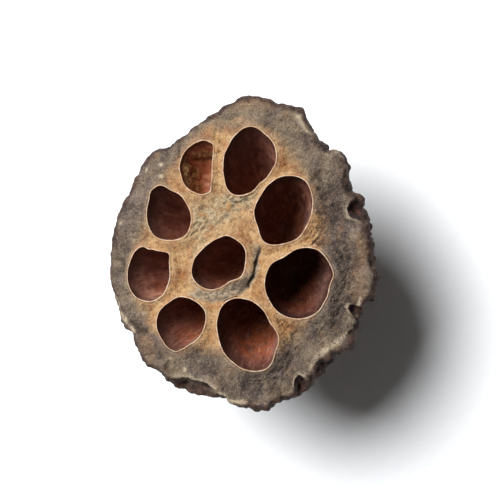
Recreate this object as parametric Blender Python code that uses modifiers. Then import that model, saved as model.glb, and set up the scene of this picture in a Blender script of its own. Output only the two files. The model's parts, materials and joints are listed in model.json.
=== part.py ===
"""A dried lotus pod: the seed head of a lotus, cut flush under its cone, with nine empty seed cells.

One natural piece, standing on the cut end of its stem, +Z up. The origin is the centre of the
cut. The face with the cells looks up, the widest way across it lies along Y. Lengths in the
tables are millimetres, angles are degrees counted from +X towards +Y.
"""

import math
from typing import NamedTuple

import bpy
import numpy as np

MM = 0.001

FACE_HEIGHT = 33.6  # top face, where it meets the rim
FACE_DOME = 1.7  # how much higher the face stands in its middle
COLLAR_RISE = 0.7  # swelling of the face towards each cell's lip
COLLAR_REACH = 2.2

RIM_MEAN = 30.0  # rim radius for which the side profile is given
BAND_RELIEF = 0.3  # pleats on the knobbly band under the rim's crest
FLANK_RELIEF = 0.4  # ribs down the cone
PLEATS = 48
CREST_WAVE = 0.55  # how far the crest rises and falls around the rim
STEPS_AROUND = 2 * PLEATS  # one row of corners on every pleat and one in every furrow

STEM_HOLE_DEPTH = 3.0
CELL_SIDES = 28
APEX_DEPTH = 45.0  # the cells point at a place on the stem's axis this far below the face
LIP_RISE = 0.5  # thin parchment edge that stands up round each cell

# The rim's outline, where the band under the crest is widest: angle and radius
RIM_OUTLINE = {
    0: 27.8, 10: 27.2, 20: 27.4, 30: 26.6, 35: 27.6, 40: 29.3, 45: 29.9, 50: 28.5,
    60: 30.0, 65: 32.0, 70: 33.0, 77: 32.6, 80: 33.4, 90: 33.1, 97: 31.6, 100: 30.9,
    110: 29.3, 120: 28.1, 127: 28.2, 130: 29.2, 135: 29.6, 145: 28.8, 153: 28.4,
    160: 28.9, 167: 29.2, 175: 29.5, 185: 29.8, 195: 30.3, 203: 30.1, 210: 31.0,
    214: 30.2, 220: 31.2, 228: 32.1, 235: 31.9, 240: 32.3, 248: 32.3, 256: 31.7,
    262: 31.4, 266: 32.5, 278: 33.5, 285: 32.4, 293: 32.3, 300: 30.6, 307: 29.8,
    313: 29.2, 319: 30.6, 325: 28.7, 330: 28.3, 336: 28.0, 342: 29.3, 348: 29.7,
    354: 28.5,
}  # fmt: skip


class Setback(NamedTuple):
    """A stretch where the crest has broken away and the band below it shows."""

    angle: float
    half_width: float
    depth: float


SETBACKS = (
    Setback(20, 8, 1.9),
    Setback(250, 11, 2.2),
    Setback(293, 5, 2.6),
    Setback(306, 5, 1.0),
    Setback(333, 4, 1.3),
)

# The pod's side for a rim of RIM_MEAN, from the inner edge of the rim to the cut end
SIDE_PROFILE = (
    (26.6, 33.6),
    (28.4, 33.5),
    (29.6, 33.0),
    (30.0, 31.8),
    (30.0, 29.8),
    (28.9, 28.6),
    (27.6, 26.4),
    (25.0, 22.6),
    (21.6, 18.4),
    (17.8, 14.3),
    (14.0, 10.8),
    (11.0, 8.2),
    (9.0, 6.4),
    (8.9, 5.2),
    (7.3, 4.3),
    (6.6, 2.6),
    (6.4, 1.0),
    (6.1, 0.0),
)
CREST_FLOOR = 31.0  # profile points above this height belong to the crest and the face
BAND_FLOOR = 29.0  # those between this height and the crest belong to the band
NECK_HEIGHT = 4.0  # below this the stem is round and smooth, whatever the rim does
NECK_FADE = 6.0  # height over which the ribs grow out of the neck

# A cell's hollow: share of the opening's radius, and height over the face as a share of its depth
HOLLOW_PROFILE = (
    (0.0, 0.12),
    (1.0, 0.12),
    (1.0, 0.0),
    (1.03, -0.10),
    (1.03, -0.34),
    (1.0, -0.58),
    (0.88, -0.80),
    (0.60, -0.94),
    (0.0, -1.0),
)
# A cell's lip: share of the opening's radius, and height over the face
LIP_PROFILE = ((0.0, LIP_RISE), (1.05, LIP_RISE), (1.085, 0.1), (1.085, -1.6), (0.0, -1.6))


class Cell(NamedTuple):
    """An empty seed cell: the centre and depth of its hollow, and its opening's outline."""

    name: str
    centre: tuple
    depth: float
    outline: dict


CELLS = (
    Cell("top", (2.2, 19.3), 17.5, {
        0: 5.5, 30: 6.1, 60: 6.4, 90: 7.4, 120: 6.5, 150: 5.8,
        180: 5.8, 210: 6.5, 240: 7.7, 270: 6.5, 300: 4.9, 330: 4.9,
    }),
    Cell("upper_right", (9.6, 8.9), 17.5, {
        0: 5.9, 30: 6.7, 60: 7.7, 90: 7.2, 120: 6.4, 150: 5.8,
        180: 6.3, 210: 6.4, 240: 7.7, 270: 6.8, 300: 6.3, 330: 5.7,
    }),
    Cell("right", (12.8, -6.6), 17.5, {
        0: 6.6, 15: 7.5, 30: 7.7, 60: 8.2, 90: 7.4, 120: 6.5, 150: 7.2,
        180: 7.2, 210: 7.1, 240: 7.3, 270: 7.2, 300: 7.0, 330: 6.4,
    }),
    Cell("bottom", (1.7, -17.6), 17.5, {
        0: 6.5, 30: 5.6, 60: 6.5, 90: 7.7, 120: 8.5, 150: 7.5,
        180: 6.4, 210: 6.2, 240: 6.4, 270: 7.1, 300: 7.8, 330: 6.7,
    }),
    Cell("lower_left", (-13.0, -15.3), 16.0, {
        0: 5.2, 30: 6.0, 60: 5.9, 90: 5.9, 120: 5.4, 150: 5.5,
        180: 5.5, 210: 5.3, 240: 5.6, 255: 5.7, 270: 5.0, 300: 4.4, 330: 4.7,
    }),
    Cell("left", (-20.1, -4.5), 15.5, {
        0: 4.6, 30: 5.2, 44: 6.1, 60: 5.5, 77: 5.2, 90: 5.2, 105: 5.9, 120: 5.8,
        150: 5.0, 180: 4.9, 210: 5.2, 240: 5.7, 270: 5.7, 300: 5.3, 330: 4.7,
    }),
    Cell("upper_left", (-15.4, 8.5), 16.0, {
        0: 4.5, 30: 4.1, 60: 4.3, 90: 4.8, 112: 6.3, 130: 6.4, 150: 5.6,
        180: 5.3, 210: 5.5, 240: 5.9, 270: 5.7, 300: 5.8, 330: 5.2,
    }),
    Cell("small", (-9.7, 18.2), 9.0, {
        0: 3.4, 30: 4.1, 45: 5.2, 55: 6.0, 73: 5.9, 90: 5.2, 120: 4.4, 150: 3.8,
        180: 3.6, 210: 3.7, 240: 4.5, 264: 5.2, 285: 5.9, 300: 6.0, 314: 4.7, 330: 3.9,
    }),
    Cell("centre", (-4.6, -2.1), 18.0, {
        0: 5.8, 30: 6.4, 60: 6.1, 73: 5.9, 90: 5.2, 120: 4.5, 150: 4.6, 171: 5.3,
        180: 5.5, 199: 6.2, 210: 6.4, 240: 6.1, 255: 5.8, 270: 5.3, 300: 4.5, 330: 5.6,
    }),
)  # fmt: skip


class StemHoles(NamedTuple):
    """A ring of air channels in the cut end of the stem."""

    count: int
    ring_radius: float
    radius: float
    first_angle: float


STEM_HOLES = (StemHoles(4, 2.7, 1.0, 45), StemHoles(8, 4.7, 0.45, 22.5))
STEM_HOLE_SIDES = 8


def closed_curve(knots, degrees):
    """The value at each angle of a smooth closed curve through the knots, without overshoot."""
    at = np.array(sorted(knots), float)
    values = np.array([knots[angle] for angle in sorted(knots)], float)
    at = np.concatenate([at[-2:] - 360, at, at[:2] + 360])
    values = np.concatenate([values[-2:], values, values[:2]])
    slopes = np.diff(values) / np.diff(at)
    turning = slopes[:-1] * slopes[1:] <= 0
    tangents = np.zeros(len(at))
    tangents[1:-1] = np.where(turning, 0, (slopes[:-1] + slopes[1:]) / 2)
    degrees = np.mod(degrees, 360)
    after = np.clip(np.searchsorted(at, degrees, side="right"), 1, len(at) - 1)
    before = after - 1
    span = at[after] - at[before]
    t = (degrees - at[before]) / span
    return (
        values[before] * (1 + 2 * t) * (1 - t) ** 2
        + tangents[before] * span * t * (1 - t) ** 2
        + values[after] * t**2 * (3 - 2 * t)
        + tangents[after] * span * t**2 * (t - 1)
    )


def crest_setback(degrees):
    """How far the crest is broken back at each angle."""
    depth = np.zeros(np.shape(degrees))
    for gap in SETBACKS:
        away = np.abs(np.mod(degrees - gap.angle + 180, 360) - 180)
        depth += gap.depth * np.clip(1.5 - 1.5 * away / gap.half_width, 0, 1)
    return depth


def crest_height(degrees):
    """How far the crest stands above or below its mean height at each angle."""
    turn = np.radians(degrees)
    waves = np.sin(5 * turn + 0.6) + 0.7 * np.sin(8 * turn + 2.1) + 0.5 * np.sin(13 * turn)
    return CREST_WAVE * waves / 2.2


def pleat(degrees):
    """Between -1 in a furrow and 1 on a rib, some ribs standing out less than others."""
    turn = np.radians(degrees)
    return np.cos(PLEATS * turn) * (0.7 + 0.3 * np.sin(7 * turn + 1) * np.sin(3 * turn))


def face_height(x, y):
    """Height of the top face: a low dome, swelling towards every cell's lip."""
    degrees = np.degrees(np.arctan2(y, x))
    share = np.hypot(x, y) / closed_curve(RIM_OUTLINE, degrees)
    height = FACE_HEIGHT + FACE_DOME * np.clip(1 - share**2, 0, 1)
    swelling = np.zeros(np.shape(x))
    for cell in CELLS:
        across, along = x - cell.centre[0], y - cell.centre[1]
        edge = closed_curve(cell.outline, np.degrees(np.arctan2(along, across)))
        outside = np.clip(np.hypot(across, along) - edge, 0, None)
        swelling = np.maximum(swelling, np.exp(-((outside / COLLAR_REACH) ** 2)))
    return height + COLLAR_RISE * (swelling - 1)


def vertices_of(mesh):
    """The mesh's vertices in millimetres, one row each."""
    points = np.empty(3 * len(mesh.vertices))
    mesh.vertices.foreach_get("co", points)
    return points.reshape(-1, 3) / MM


def polar(points):
    """Radius, angle in radians and height of each point."""
    x, y, z = points.T
    return np.hypot(x, y), np.arctan2(y, x), z


def move_vertices(mesh, x, y, z):
    """Puts the mesh's vertices at these places in millimetres."""
    mesh.vertices.foreach_set("co", (np.column_stack([x, y, z]) * MM).ravel())
    mesh.update()


def turned(name, profile, steps, collection):
    """A new object in the collection: the profile of (radius, height) turned round the Z axis."""
    outline = bpy.data.meshes.new(name)
    points = [(radius * MM, 0, height * MM) for radius, height in profile]
    outline.from_pydata(points, [(i, i + 1) for i in range(len(points) - 1)], [])
    lathe = bpy.data.objects.new(name, outline)
    collection.objects.link(lathe)
    screw = lathe.modifiers.new("Turn", "SCREW")
    screw.steps = screw.render_steps = steps
    screw.use_merge_vertices = True
    screw.merge_threshold = 0.00001
    return applied(lathe)


def applied(obj):
    """The object with its modifiers made part of its mesh."""
    bpy.context.view_layer.update()
    evaluated = obj.evaluated_get(bpy.context.evaluated_depsgraph_get())
    before, obj.data = obj.data, bpy.data.meshes.new_from_object(evaluated)
    obj.modifiers.clear()
    bpy.data.meshes.remove(before)
    return obj


def close_face(obj):
    """Closes the open top of the turned side with an even grid of faces."""
    bpy.context.view_layer.objects.active = obj
    obj.select_set(True)
    bpy.ops.object.mode_set(mode="EDIT")
    bpy.ops.mesh.select_all(action="DESELECT")
    bpy.ops.mesh.select_non_manifold()
    bpy.ops.mesh.fill_grid(span=STEPS_AROUND // 4)
    bpy.ops.mesh.select_all(action="SELECT")
    bpy.ops.mesh.normals_make_consistent(inside=False)
    bpy.ops.object.mode_set(mode="OBJECT")


def make_body(collection):
    """The solid pod without its cells: domed face, lobed rim, ribbed cone and cut stem."""
    body = turned("pod", (*SIDE_PROFILE, (0.0, 0.0)), STEPS_AROUND, collection)
    close_face(body)
    radius, turn, z = polar(vertices_of(body.data))
    degrees = np.degrees(turn)
    on_top = z > CREST_FLOOR
    inner_edge = SIDE_PROFILE[0][0]
    rim_share = np.clip((radius - inner_edge) / (RIM_MEAN - inner_edge), 0, 1)

    lobes = closed_curve(RIM_OUTLINE, degrees) / RIM_MEAN - 1
    lobe_share = np.clip((z - NECK_HEIGHT) / (CREST_FLOOR - NECK_HEIGHT), 0, 1) ** 0.8
    relief = np.where(z > BAND_FLOOR, BAND_RELIEF, FLANK_RELIEF) * pleat(degrees)
    relief *= np.clip((z - NECK_HEIGHT) / NECK_FADE, 0, 1)
    broken_back = crest_setback(degrees) * rim_share
    radius = radius * (1 + lobe_share * lobes)
    radius += np.where(on_top, relief * rim_share - broken_back, relief)

    x, y = radius * np.cos(turn), radius * np.sin(turn)
    fall = z - FACE_HEIGHT
    top = face_height(x, y) + crest_height(degrees) * rim_share + fall
    move_vertices(body.data, x, y, np.where(on_top, top, z))
    return body


def make_lip(cell, collection):
    """A plug over the cell's opening, which leaves a standing lip once the hollow is cut."""
    lip = turned(f"lip_{cell.name}", LIP_PROFILE, CELL_SIDES, collection)
    share, turn, height = polar(vertices_of(lip.data))
    reach = share * closed_curve(cell.outline, np.degrees(turn))
    x = cell.centre[0] + reach * np.cos(turn)
    y = cell.centre[1] + reach * np.sin(turn)
    move_vertices(lip.data, x, y, face_height(x, y) + height)


def make_hollow(cell, collection):
    """The cutter of a cell: its outline drawn down towards the apex, with a round bottom."""
    hollow = turned(f"hollow_{cell.name}", HOLLOW_PROFILE, CELL_SIDES, collection)
    share, turn, height = polar(vertices_of(hollow.data))
    reach = share * closed_curve(cell.outline, np.degrees(turn))
    height = height * cell.depth
    narrowing = 1 + np.minimum(height, 0) / APEX_DEPTH
    x = (cell.centre[0] + reach * np.cos(turn)) * narrowing
    y = (cell.centre[1] + reach * np.sin(turn)) * narrowing
    move_vertices(hollow.data, x, y, face_height(*np.array(cell.centre)) + height)


def make_stem_holes(holes, collection):
    """The cutters of one ring of air channels in the cut stem."""
    for index in range(holes.count):
        turn = math.radians(holes.first_angle + 360 * index / holes.count)
        bpy.ops.mesh.primitive_cylinder_add(
            vertices=STEM_HOLE_SIDES,
            radius=holes.radius * MM,
            depth=2 * STEM_HOLE_DEPTH * MM,
            location=(
                holes.ring_radius * math.cos(turn) * MM,
                holes.ring_radius * math.sin(turn) * MM,
                0,
            ),
        )
        cutter = bpy.context.object
        cutter.name = f"air_channel_{holes.count}_{index + 1}"
        for home in list(cutter.users_collection):
            home.objects.unlink(cutter)
        collection.objects.link(cutter)


def boolean(obj, operation, collection):
    """Joins the collection's objects to the object, or cuts them from it."""
    modifier = obj.modifiers.new(operation.title(), "BOOLEAN")
    modifier.operation = operation
    modifier.operand_type = "COLLECTION"
    modifier.collection = collection


def dried_skin():
    """The brown, dull skin of a dried pod."""
    material = bpy.data.materials.new("dried_skin")
    material.use_nodes = True
    shader = material.node_tree.nodes["Principled BSDF"]
    shader.inputs["Base Color"].default_value = (0.33, 0.23, 0.14, 1)
    shader.inputs["Roughness"].default_value = 0.75
    shader.inputs["Metallic"].default_value = 0.0
    return material


def new_collection(name):
    """A new collection in the scene."""
    collection = bpy.data.collections.new(name)
    bpy.context.scene.collection.children.link(collection)
    return collection


def main():
    """Builds the pod: body, lips joined to it, then cells and air channels cut from it."""
    for obj in list(bpy.data.objects):
        bpy.data.objects.remove(obj)
    pod = make_body(new_collection("dried_lotus_pod"))

    lips = new_collection("lips")
    for cell in CELLS:
        make_lip(cell, lips)
    boolean(pod, "UNION", lips)
    applied(pod)
    for lip in list(lips.objects):
        bpy.data.objects.remove(lip)
    bpy.data.collections.remove(lips)

    cutters = new_collection("cutters")
    for cell in CELLS:
        make_hollow(cell, cutters)
    for holes in STEM_HOLES:
        make_stem_holes(holes, cutters)
    for cutter in cutters.objects:
        cutter.hide_render = True
        cutter.display_type = "WIRE"
    boolean(pod, "DIFFERENCE", cutters)

    pod.data.materials.clear()
    pod.data.materials.append(dried_skin())
    pod.data.shade_smooth()
    pod.data.set_sharp_from_angle(angle=math.radians(35))


main()
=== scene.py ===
"""A dried lotus seed head standing on a pale floor, seen from above in soft daylight.

The pod is one closed skin: a punched face with nine open seed cells and their parchment lips, a
lobed rim with a knobbly band under its crest, a ribbed cone and the cut stem with its air
channels. Lengths in the tables are millimetres, angles are degrees counted from +X towards +Y,
and the finished mesh is in metres in the CAD model's frame.
"""

import itertools
import json
import logging
import math
from dataclasses import dataclass
from enum import Enum

import bpy
import numpy as np
from mathutils import Matrix, Vector

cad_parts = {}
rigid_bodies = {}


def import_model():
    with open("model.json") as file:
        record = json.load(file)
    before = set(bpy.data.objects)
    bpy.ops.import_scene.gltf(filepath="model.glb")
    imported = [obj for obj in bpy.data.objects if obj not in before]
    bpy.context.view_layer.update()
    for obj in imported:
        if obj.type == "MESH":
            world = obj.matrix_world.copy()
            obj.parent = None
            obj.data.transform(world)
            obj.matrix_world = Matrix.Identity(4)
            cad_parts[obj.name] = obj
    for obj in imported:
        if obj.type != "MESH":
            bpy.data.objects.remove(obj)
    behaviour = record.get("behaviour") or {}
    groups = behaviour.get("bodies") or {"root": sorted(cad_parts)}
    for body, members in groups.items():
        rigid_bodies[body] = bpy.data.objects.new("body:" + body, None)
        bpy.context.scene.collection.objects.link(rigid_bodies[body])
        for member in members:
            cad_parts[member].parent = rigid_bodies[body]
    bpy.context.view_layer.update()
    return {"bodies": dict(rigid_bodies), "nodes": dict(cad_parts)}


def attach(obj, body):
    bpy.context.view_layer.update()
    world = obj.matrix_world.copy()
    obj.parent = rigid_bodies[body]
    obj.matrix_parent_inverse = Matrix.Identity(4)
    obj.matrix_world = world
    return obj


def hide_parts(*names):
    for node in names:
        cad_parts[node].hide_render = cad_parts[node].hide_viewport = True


Array = np.ndarray

LOG = logging.getLogger("lotus_pod")
MM = 0.001


# Curves and noise


def closed_curve(knots: dict[float, float], degrees: Array) -> Array:
    """A smooth closed curve through the knots, by cubic Hermite pieces that are flat at extremes.

    Args:
        knots: Value by angle, in degrees.
        degrees: Angles at which the curve is wanted.

    Returns:
        The curve's value at each angle.
    """
    at = np.array(sorted(knots), float)
    values = np.array([knots[angle] for angle in sorted(knots)], float)
    at = np.concatenate([at[-2:] - 360, at, at[:2] + 360])
    values = np.concatenate([values[-2:], values, values[:2]])
    slopes = np.diff(values) / np.diff(at)
    turning = slopes[:-1] * slopes[1:] <= 0
    tangents = np.zeros(len(at))
    tangents[1:-1] = np.where(turning, 0, (slopes[:-1] + slopes[1:]) / 2)
    degrees = np.mod(degrees, 360)
    after = np.clip(np.searchsorted(at, degrees, side="right"), 1, len(at) - 1)
    before = after - 1
    span = at[after] - at[before]
    t = (degrees - at[before]) / span
    return (
        values[before] * (1 + 2 * t) * (1 - t) ** 2
        + tangents[before] * span * t * (1 - t) ** 2
        + values[after] * t**2 * (3 - 2 * t)
        + tangents[after] * span * t**2 * (t - 1)
    )


def ease(low: float, high: float, value: Array) -> Array:
    """A smooth step, 3t^2 - 2t^3 between the two bounds.

    Args:
        low: Where it starts, at 0. It may be the larger one.
        high: Where it ends, at 1.
        value: Where it is wanted.

    Returns:
        The step at each value.
    """
    t = np.clip((value - low) / (high - low), 0, 1)
    return t * t * (3 - 2 * t)


def bell(distance: Array, width: float) -> Array:
    """1 at distance 0, falling as exp(-(distance / width)^2)."""
    return np.exp(-((distance / width) ** 2))


def corner_value(corner: Array, seed: int) -> Array:
    """A repeatable random number for each whole-number corner, by mixing its bits.

    Args:
        corner: Corners, three whole numbers each.
        seed: Chooses the random values.

    Returns:
        A number from -1 to 1 for each corner.
    """
    primes, seed_prime = np.array([73856093, 19349663, 83492791]), 2654435761
    mixed = (corner.astype(np.int64) @ primes + seed * seed_prime).astype(np.uint64)
    for shift, factor in ((30, 0xBF58476D1CE4E5B9), (27, 0x94D049BB133111EB)):
        mixed = (mixed ^ (mixed >> np.uint64(shift))) * np.uint64(factor)
    mixed ^= mixed >> np.uint64(31)
    return (mixed >> np.uint64(11)).astype(float) / 2**52 - 1


def smooth_noise(points: Array, seed: int) -> Array:
    """Random values at whole-number corners, blended in each cube with 6t^5 - 15t^4 + 10t^3.

    Args:
        points: Places, one row of three numbers each, in units of one cube.
        seed: Chooses the random values.

    Returns:
        A number between -1 and 1 for each place.
    """
    low = np.floor(points)
    part = points - low
    part = part**3 * (part * (6 * part - 15) + 10)
    total = np.zeros(len(points))
    for corner in itertools.product((0, 1), repeat=3):
        weight = np.prod(np.where(corner, part, 1 - part), axis=1)
        total += weight * corner_value(low + corner, seed)
    return total


def fractal(points: Array, size: float, octaves: int, seed: int) -> Array:
    """Sum of smooth noise of cube size, size / 2, size / 4 and so on, each half as strong.

    Args:
        points: Places in millimetres, one row each.
        size: Size of the largest cubes.
        octaves: How many sizes are added.
        seed: Chooses the random values.

    Returns:
        A number for each place, mostly between -1 and 1.
    """
    scaled, apart, spread = points / size, 17.3, 1.15
    total = sum(smooth_noise(scaled * 2**k + apart * k, seed + k) / 2**k for k in range(octaves))
    return total * spread / (2 - 2.0 ** (1 - octaves))


class Grain(Enum):
    """The noises of the skin's relief: size of the largest cubes, number of sizes and seed."""

    LIP_EDGE = (0.9, 3, 11)
    LIP_HEIGHT = (1.7, 3, 23)
    BEND_X = (3.4, 2, 201)
    BEND_Y = (3.4, 2, 202)
    BEND_Z = (3.4, 2, 203)
    SWELLING = (8.0, 2, 1)
    SPOKE = (4.2, 1, 9)
    LUMP = (3.0, 1, 13)
    CREASE = (1.6, 1, 5)
    DENT = (4.4, 2, 15)
    WRINKLE = (1.7, 3, 7)
    CRUMB = (0.75, 2, 8)
    PIT = (1.1, 2, 31)
    FINE_PIT = (0.7, 1, 35)
    CRACK = (1.1, 2, 91)
    KNOB = (2.3, 1, 51)
    FINE_KNOB = (1.1, 1, 57)
    BAND = (0.8, 2, 79)
    RIB_DRIFT = (7.0, 2, 61)
    RIB_STRENGTH = (5.0, 2, 67)
    FURROW = (2.2, 3, 71)
    CONE = (1.3, 2, 73)
    NECK = (1.6, 3, 77)
    WALL_RING = (2.2, 3, 81)
    WALL_FOLD = (2.0, 3, 83)
    BOTTOM = (2.6, 3, 87)
    REMNANT = (1.3, 3, 89)
    TAN_EDGE = (3.2, 3, 101)
    SIDE_EDGE = (1.6, 2, 103)
    RUBBED_EDGE = (1.2, 2, 105)
    TINT_EDGE = (2.0, 2, 107)
    BARK_EDGE = (1.5, 3, 109)
    DUSK_EDGE = (1.5, 3, 113)

    def on(self, points: Array) -> Array:
        """The noise at each place."""
        return fractal(points, *self.value)


def around(centre: tuple, reach: Array, turn: Array) -> tuple[Array, Array]:
    """The x and y at some reach from a centre in the direction of each angle, in radians."""
    return centre[0] + reach * np.cos(turn), centre[1] + reach * np.sin(turn)


def wrapped(turn: Array, radius: float, along: Array) -> Array:
    """Places on a round wall, on which a noise runs round without a seam.

    Args:
        turn: Angle round the wall, in radians.
        radius: The wall's radius. A larger one gives finer noise round the wall.
        along: The third number of each place.

    Returns:
        Places, one row each.
    """
    return np.stack([*around((0, 0), radius, turn), along], axis=1)


def line_distance(x: Array, y: Array, line: tuple) -> Array:
    """Distance of each point from the nearest place on an open line of straight pieces.

    Args:
        x: The points' x.
        y: Their y.
        line: Corners of the line, x and y each.

    Returns:
        The distance of each point.
    """
    nearest = np.full(np.shape(x), np.inf)
    for (x0, y0), (x1, y1) in itertools.pairwise(line):
        along = ((x - x0) * (x1 - x0) + (y - y0) * (y1 - y0)) / ((x1 - x0) ** 2 + (y1 - y0) ** 2)
        along = np.clip(along, 0, 1)
        gap = np.hypot(x - x0 - along * (x1 - x0), y - y0 - along * (y1 - y0))
        nearest = np.minimum(nearest, gap)
    return nearest


def angle_gap(degrees: Array, angle: float) -> Array:
    """How many degrees each angle is away from the given one, from 0 to 180."""
    return np.abs(np.mod(degrees - angle + 180, 360) - 180)


# A disc shared out among its holes


@dataclass(frozen=True)
class Shares:
    """Border points of the shares of a disc, and the loops of them that belong together.

    Attributes:
        points: Border points, one row of x and y each. The ring's points come first.
        loops: For each hole the numbers of the points round its share, in order of angle.
    """

    points: Array
    loops: list


# Under these a system has no one solution, and two squared distances are the same
SINGULAR, SAME = 1e-9, 1e-6


def share_out(centres: Array, weights: Array, ring: Array, spacing: float) -> Shares:
    """Shares a disc out among holes by the smallest squared distance less squared weight.

    The border of two holes is then a straight line. Its ends are the points that three holes
    share and the ring's points where the nearest hole changes.

    Args:
        centres: Centre of each hole, one row of x and y each.
        weights: A length for each hole, about its radius.
        ring: The disc's edge, an even number of points in order of angle.
        spacing: Distance wanted between the points of a border.

    Returns:
        The border points and a loop for each hole, of an even number of points.
    """
    level = (centres**2).sum(axis=1) - weights**2

    def power(place: Array) -> Array:
        """Squared distance less squared weight from each hole, without the common term."""
        return level - 2 * place @ centres.T

    corners = {}
    for i, j, k in itertools.combinations(range(len(centres)), 3):
        sides = 2 * np.array([centres[j] - centres[i], centres[k] - centres[i]])
        if abs(np.linalg.det(sides)) < SINGULAR:
            continue
        place = np.linalg.solve(sides, [level[j] - level[i], level[k] - level[i]])
        here = power(place)
        owners = frozenset(np.flatnonzero(here < here.min() + SAME).tolist())
        turn = math.atan2(place[1], place[0]) / (2 * math.pi) % 1
        edge = np.hypot(*ring[int(turn * len(ring)) % len(ring)])
        if i in owners and np.hypot(*place) < edge:
            corners[owners] = place
    points = [tuple(place) for place in ring]
    numbered = []
    for owners, place in corners.items():
        numbered.append((owners, len(points)))
        points.append(tuple(place))

    owner = power(ring).argmin(axis=1)
    owner = np.repeat(owner[::2], 2)
    changes = np.flatnonzero(owner != np.roll(owner, 1))
    members = [set(np.flatnonzero(owner == hole).tolist()) for hole in range(len(centres))]
    for change in changes:
        pair = frozenset((int(owner[change]), int(owner[change - 1])))
        numbered.append((pair, int(change)))
        for hole in pair:
            members[hole].add(int(change))

    for i, j in itertools.combinations(range(len(centres)), 2):
        ends = [number for owners, number in numbered if {i, j} <= owners]
        if len(ends) != 2:
            continue
        start, end = np.array(points[ends[0]]), np.array(points[ends[1]])
        count = 2 * max(1, round(np.hypot(*(end - start)) / spacing / 2))
        inner = range(len(points), len(points) + count - 1)
        steps = np.arange(1, count)[:, None] / count
        points.extend(map(tuple, start + steps * (end - start)))
        for hole in (i, j):
            members[hole].update(inner, ends)

    places = np.array(points)
    loops = []
    for hole, found in enumerate(members):
        numbers = np.array(sorted(found))
        gap = places[numbers] - centres[hole]
        loops.append(numbers[np.argsort(np.arctan2(gap[:, 1], gap[:, 0]))])
    return Shares(places, loops)


# A skin sewn from grids of points


class Skin:
    """Grids of points with their fields, sewn into one closed mesh.

    A field is a number kept for every point under a name, such as how far down a cell it lies.
    """

    def __init__(self, fields: tuple) -> None:
        """Starts an empty skin.

        Args:
            fields: Names of the fields that all its points carry.
        """
        self.fields = {name: [] for name in fields}
        self.points: list = []
        self.quads: list = []
        self.triangles: list = []
        self.count = 0

    def add(self, points: Array, **fields: Array | float) -> Array:
        """Adds points, of any grid shape, and gives back their numbers in the same shape.

        Args:
            points: Places in millimetres, three numbers each along the last axis.
            **fields: A value or an array of values for each field; the others are 0.

        Returns:
            The numbers of the new points.
        """
        shape = points.shape[:-1]
        self.points.append(points.reshape(-1, 3))
        for name, kept in self.fields.items():
            value = np.broadcast_to(np.asarray(fields.get(name, 0.0), float), shape)
            kept.append(value.reshape(-1))
        numbers = np.arange(self.count, self.count + math.prod(shape)).reshape(shape)
        self.count += math.prod(shape)
        return numbers

    def sew(self, rows: Array, flipped: bool = False) -> None:
        """Faces between rows of numbers that each close on themselves.

        Args:
            rows: Numbers of the points, one row for each ring.
            flipped: True if the faces are to look the other way.
        """
        here, below = rows[:-1], rows[1:]
        corners = [here, np.roll(here, -1, axis=1), np.roll(below, -1, axis=1), below]
        faces = np.stack(corners, axis=-1).reshape(-1, 4)
        self.quads.append(faces[:, ::-1] if flipped else faces)

    def halve(self, upper: Array, lower: Array, flipped: bool = False) -> None:
        """Faces between a ring and one with half as many points, three triangles to a pair.

        Args:
            upper: Numbers of the ring's points.
            lower: Numbers of the other's.
            flipped: True if the faces are to look the other way.
        """
        left, middle, right = upper[::2], upper[1::2], np.roll(upper[::2], -1)
        below, beyond = lower, np.roll(lower, -1)
        faces = np.concatenate([
            np.stack([left, middle, below], axis=1),
            np.stack([middle, beyond, below], axis=1),
            np.stack([middle, right, beyond], axis=1),
        ])
        self.triangles.append(faces[:, ::-1] if flipped else faces)

    def close(self, ring: Array, pole: Array, flipped: bool = False) -> None:
        """Faces from a ring to the one point that closes it.

        Args:
            ring: Numbers of the ring's points.
            pole: Number of the one point.
            flipped: True if the faces are to look the other way.
        """
        faces = np.stack([ring, np.roll(ring, -1), np.full(len(ring), int(pole))], axis=1)
        self.triangles.append(faces[:, ::-1] if flipped else faces)

    def gathered(self) -> tuple[Array, dict]:
        """All points, one row each, and the fields as whole arrays."""
        fields = {name: np.concatenate(kept) for name, kept in self.fields.items()}
        return np.concatenate(self.points), fields

    def normals(self, points: Array) -> Array:
        """The unit normal at every point: the sum of its faces' area vectors, made of length 1.

        Args:
            points: Places of all points.

        Returns:
            The normals, one row each.
        """
        quads, triangles = np.concatenate(self.quads), np.concatenate(self.triangles)
        faces = np.concatenate([quads[:, [0, 1, 2]], quads[:, [0, 2, 3]], triangles])
        a, b, c = (points[faces[:, side]] for side in range(3))
        area = np.cross(b - a, c - a)
        total = np.stack([
            np.bincount(faces.ravel(), np.repeat(part, 3), len(points)) for part in area.T
        ], axis=1)
        return total / np.linalg.norm(total, axis=1, keepdims=True)

    def mesh(self, name: str, points: Array, fields: dict) -> bpy.types.Mesh:
        """The skin as a Blender mesh in metres, with a point attribute for each field.

        Args:
            name: Name of the mesh.
            points: Final place of every point, in millimetres.
            fields: Values of every point by attribute name.

        Returns:
            The mesh, smooth shaded.
        """
        faces = np.concatenate(self.quads).tolist() + np.concatenate(self.triangles).tolist()
        mesh = bpy.data.meshes.new(name)
        mesh.from_pydata((points * MM).tolist(), [], faces)
        for label, values in fields.items():
            attribute = mesh.attributes.new(label, "FLOAT", "POINT")
            attribute.data.foreach_set("value", values.astype(np.float32))
        mesh.polygons.foreach_set("use_smooth", np.ones(len(mesh.polygons), bool))
        mesh.update()
        return mesh


# The pod's own shape


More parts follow.
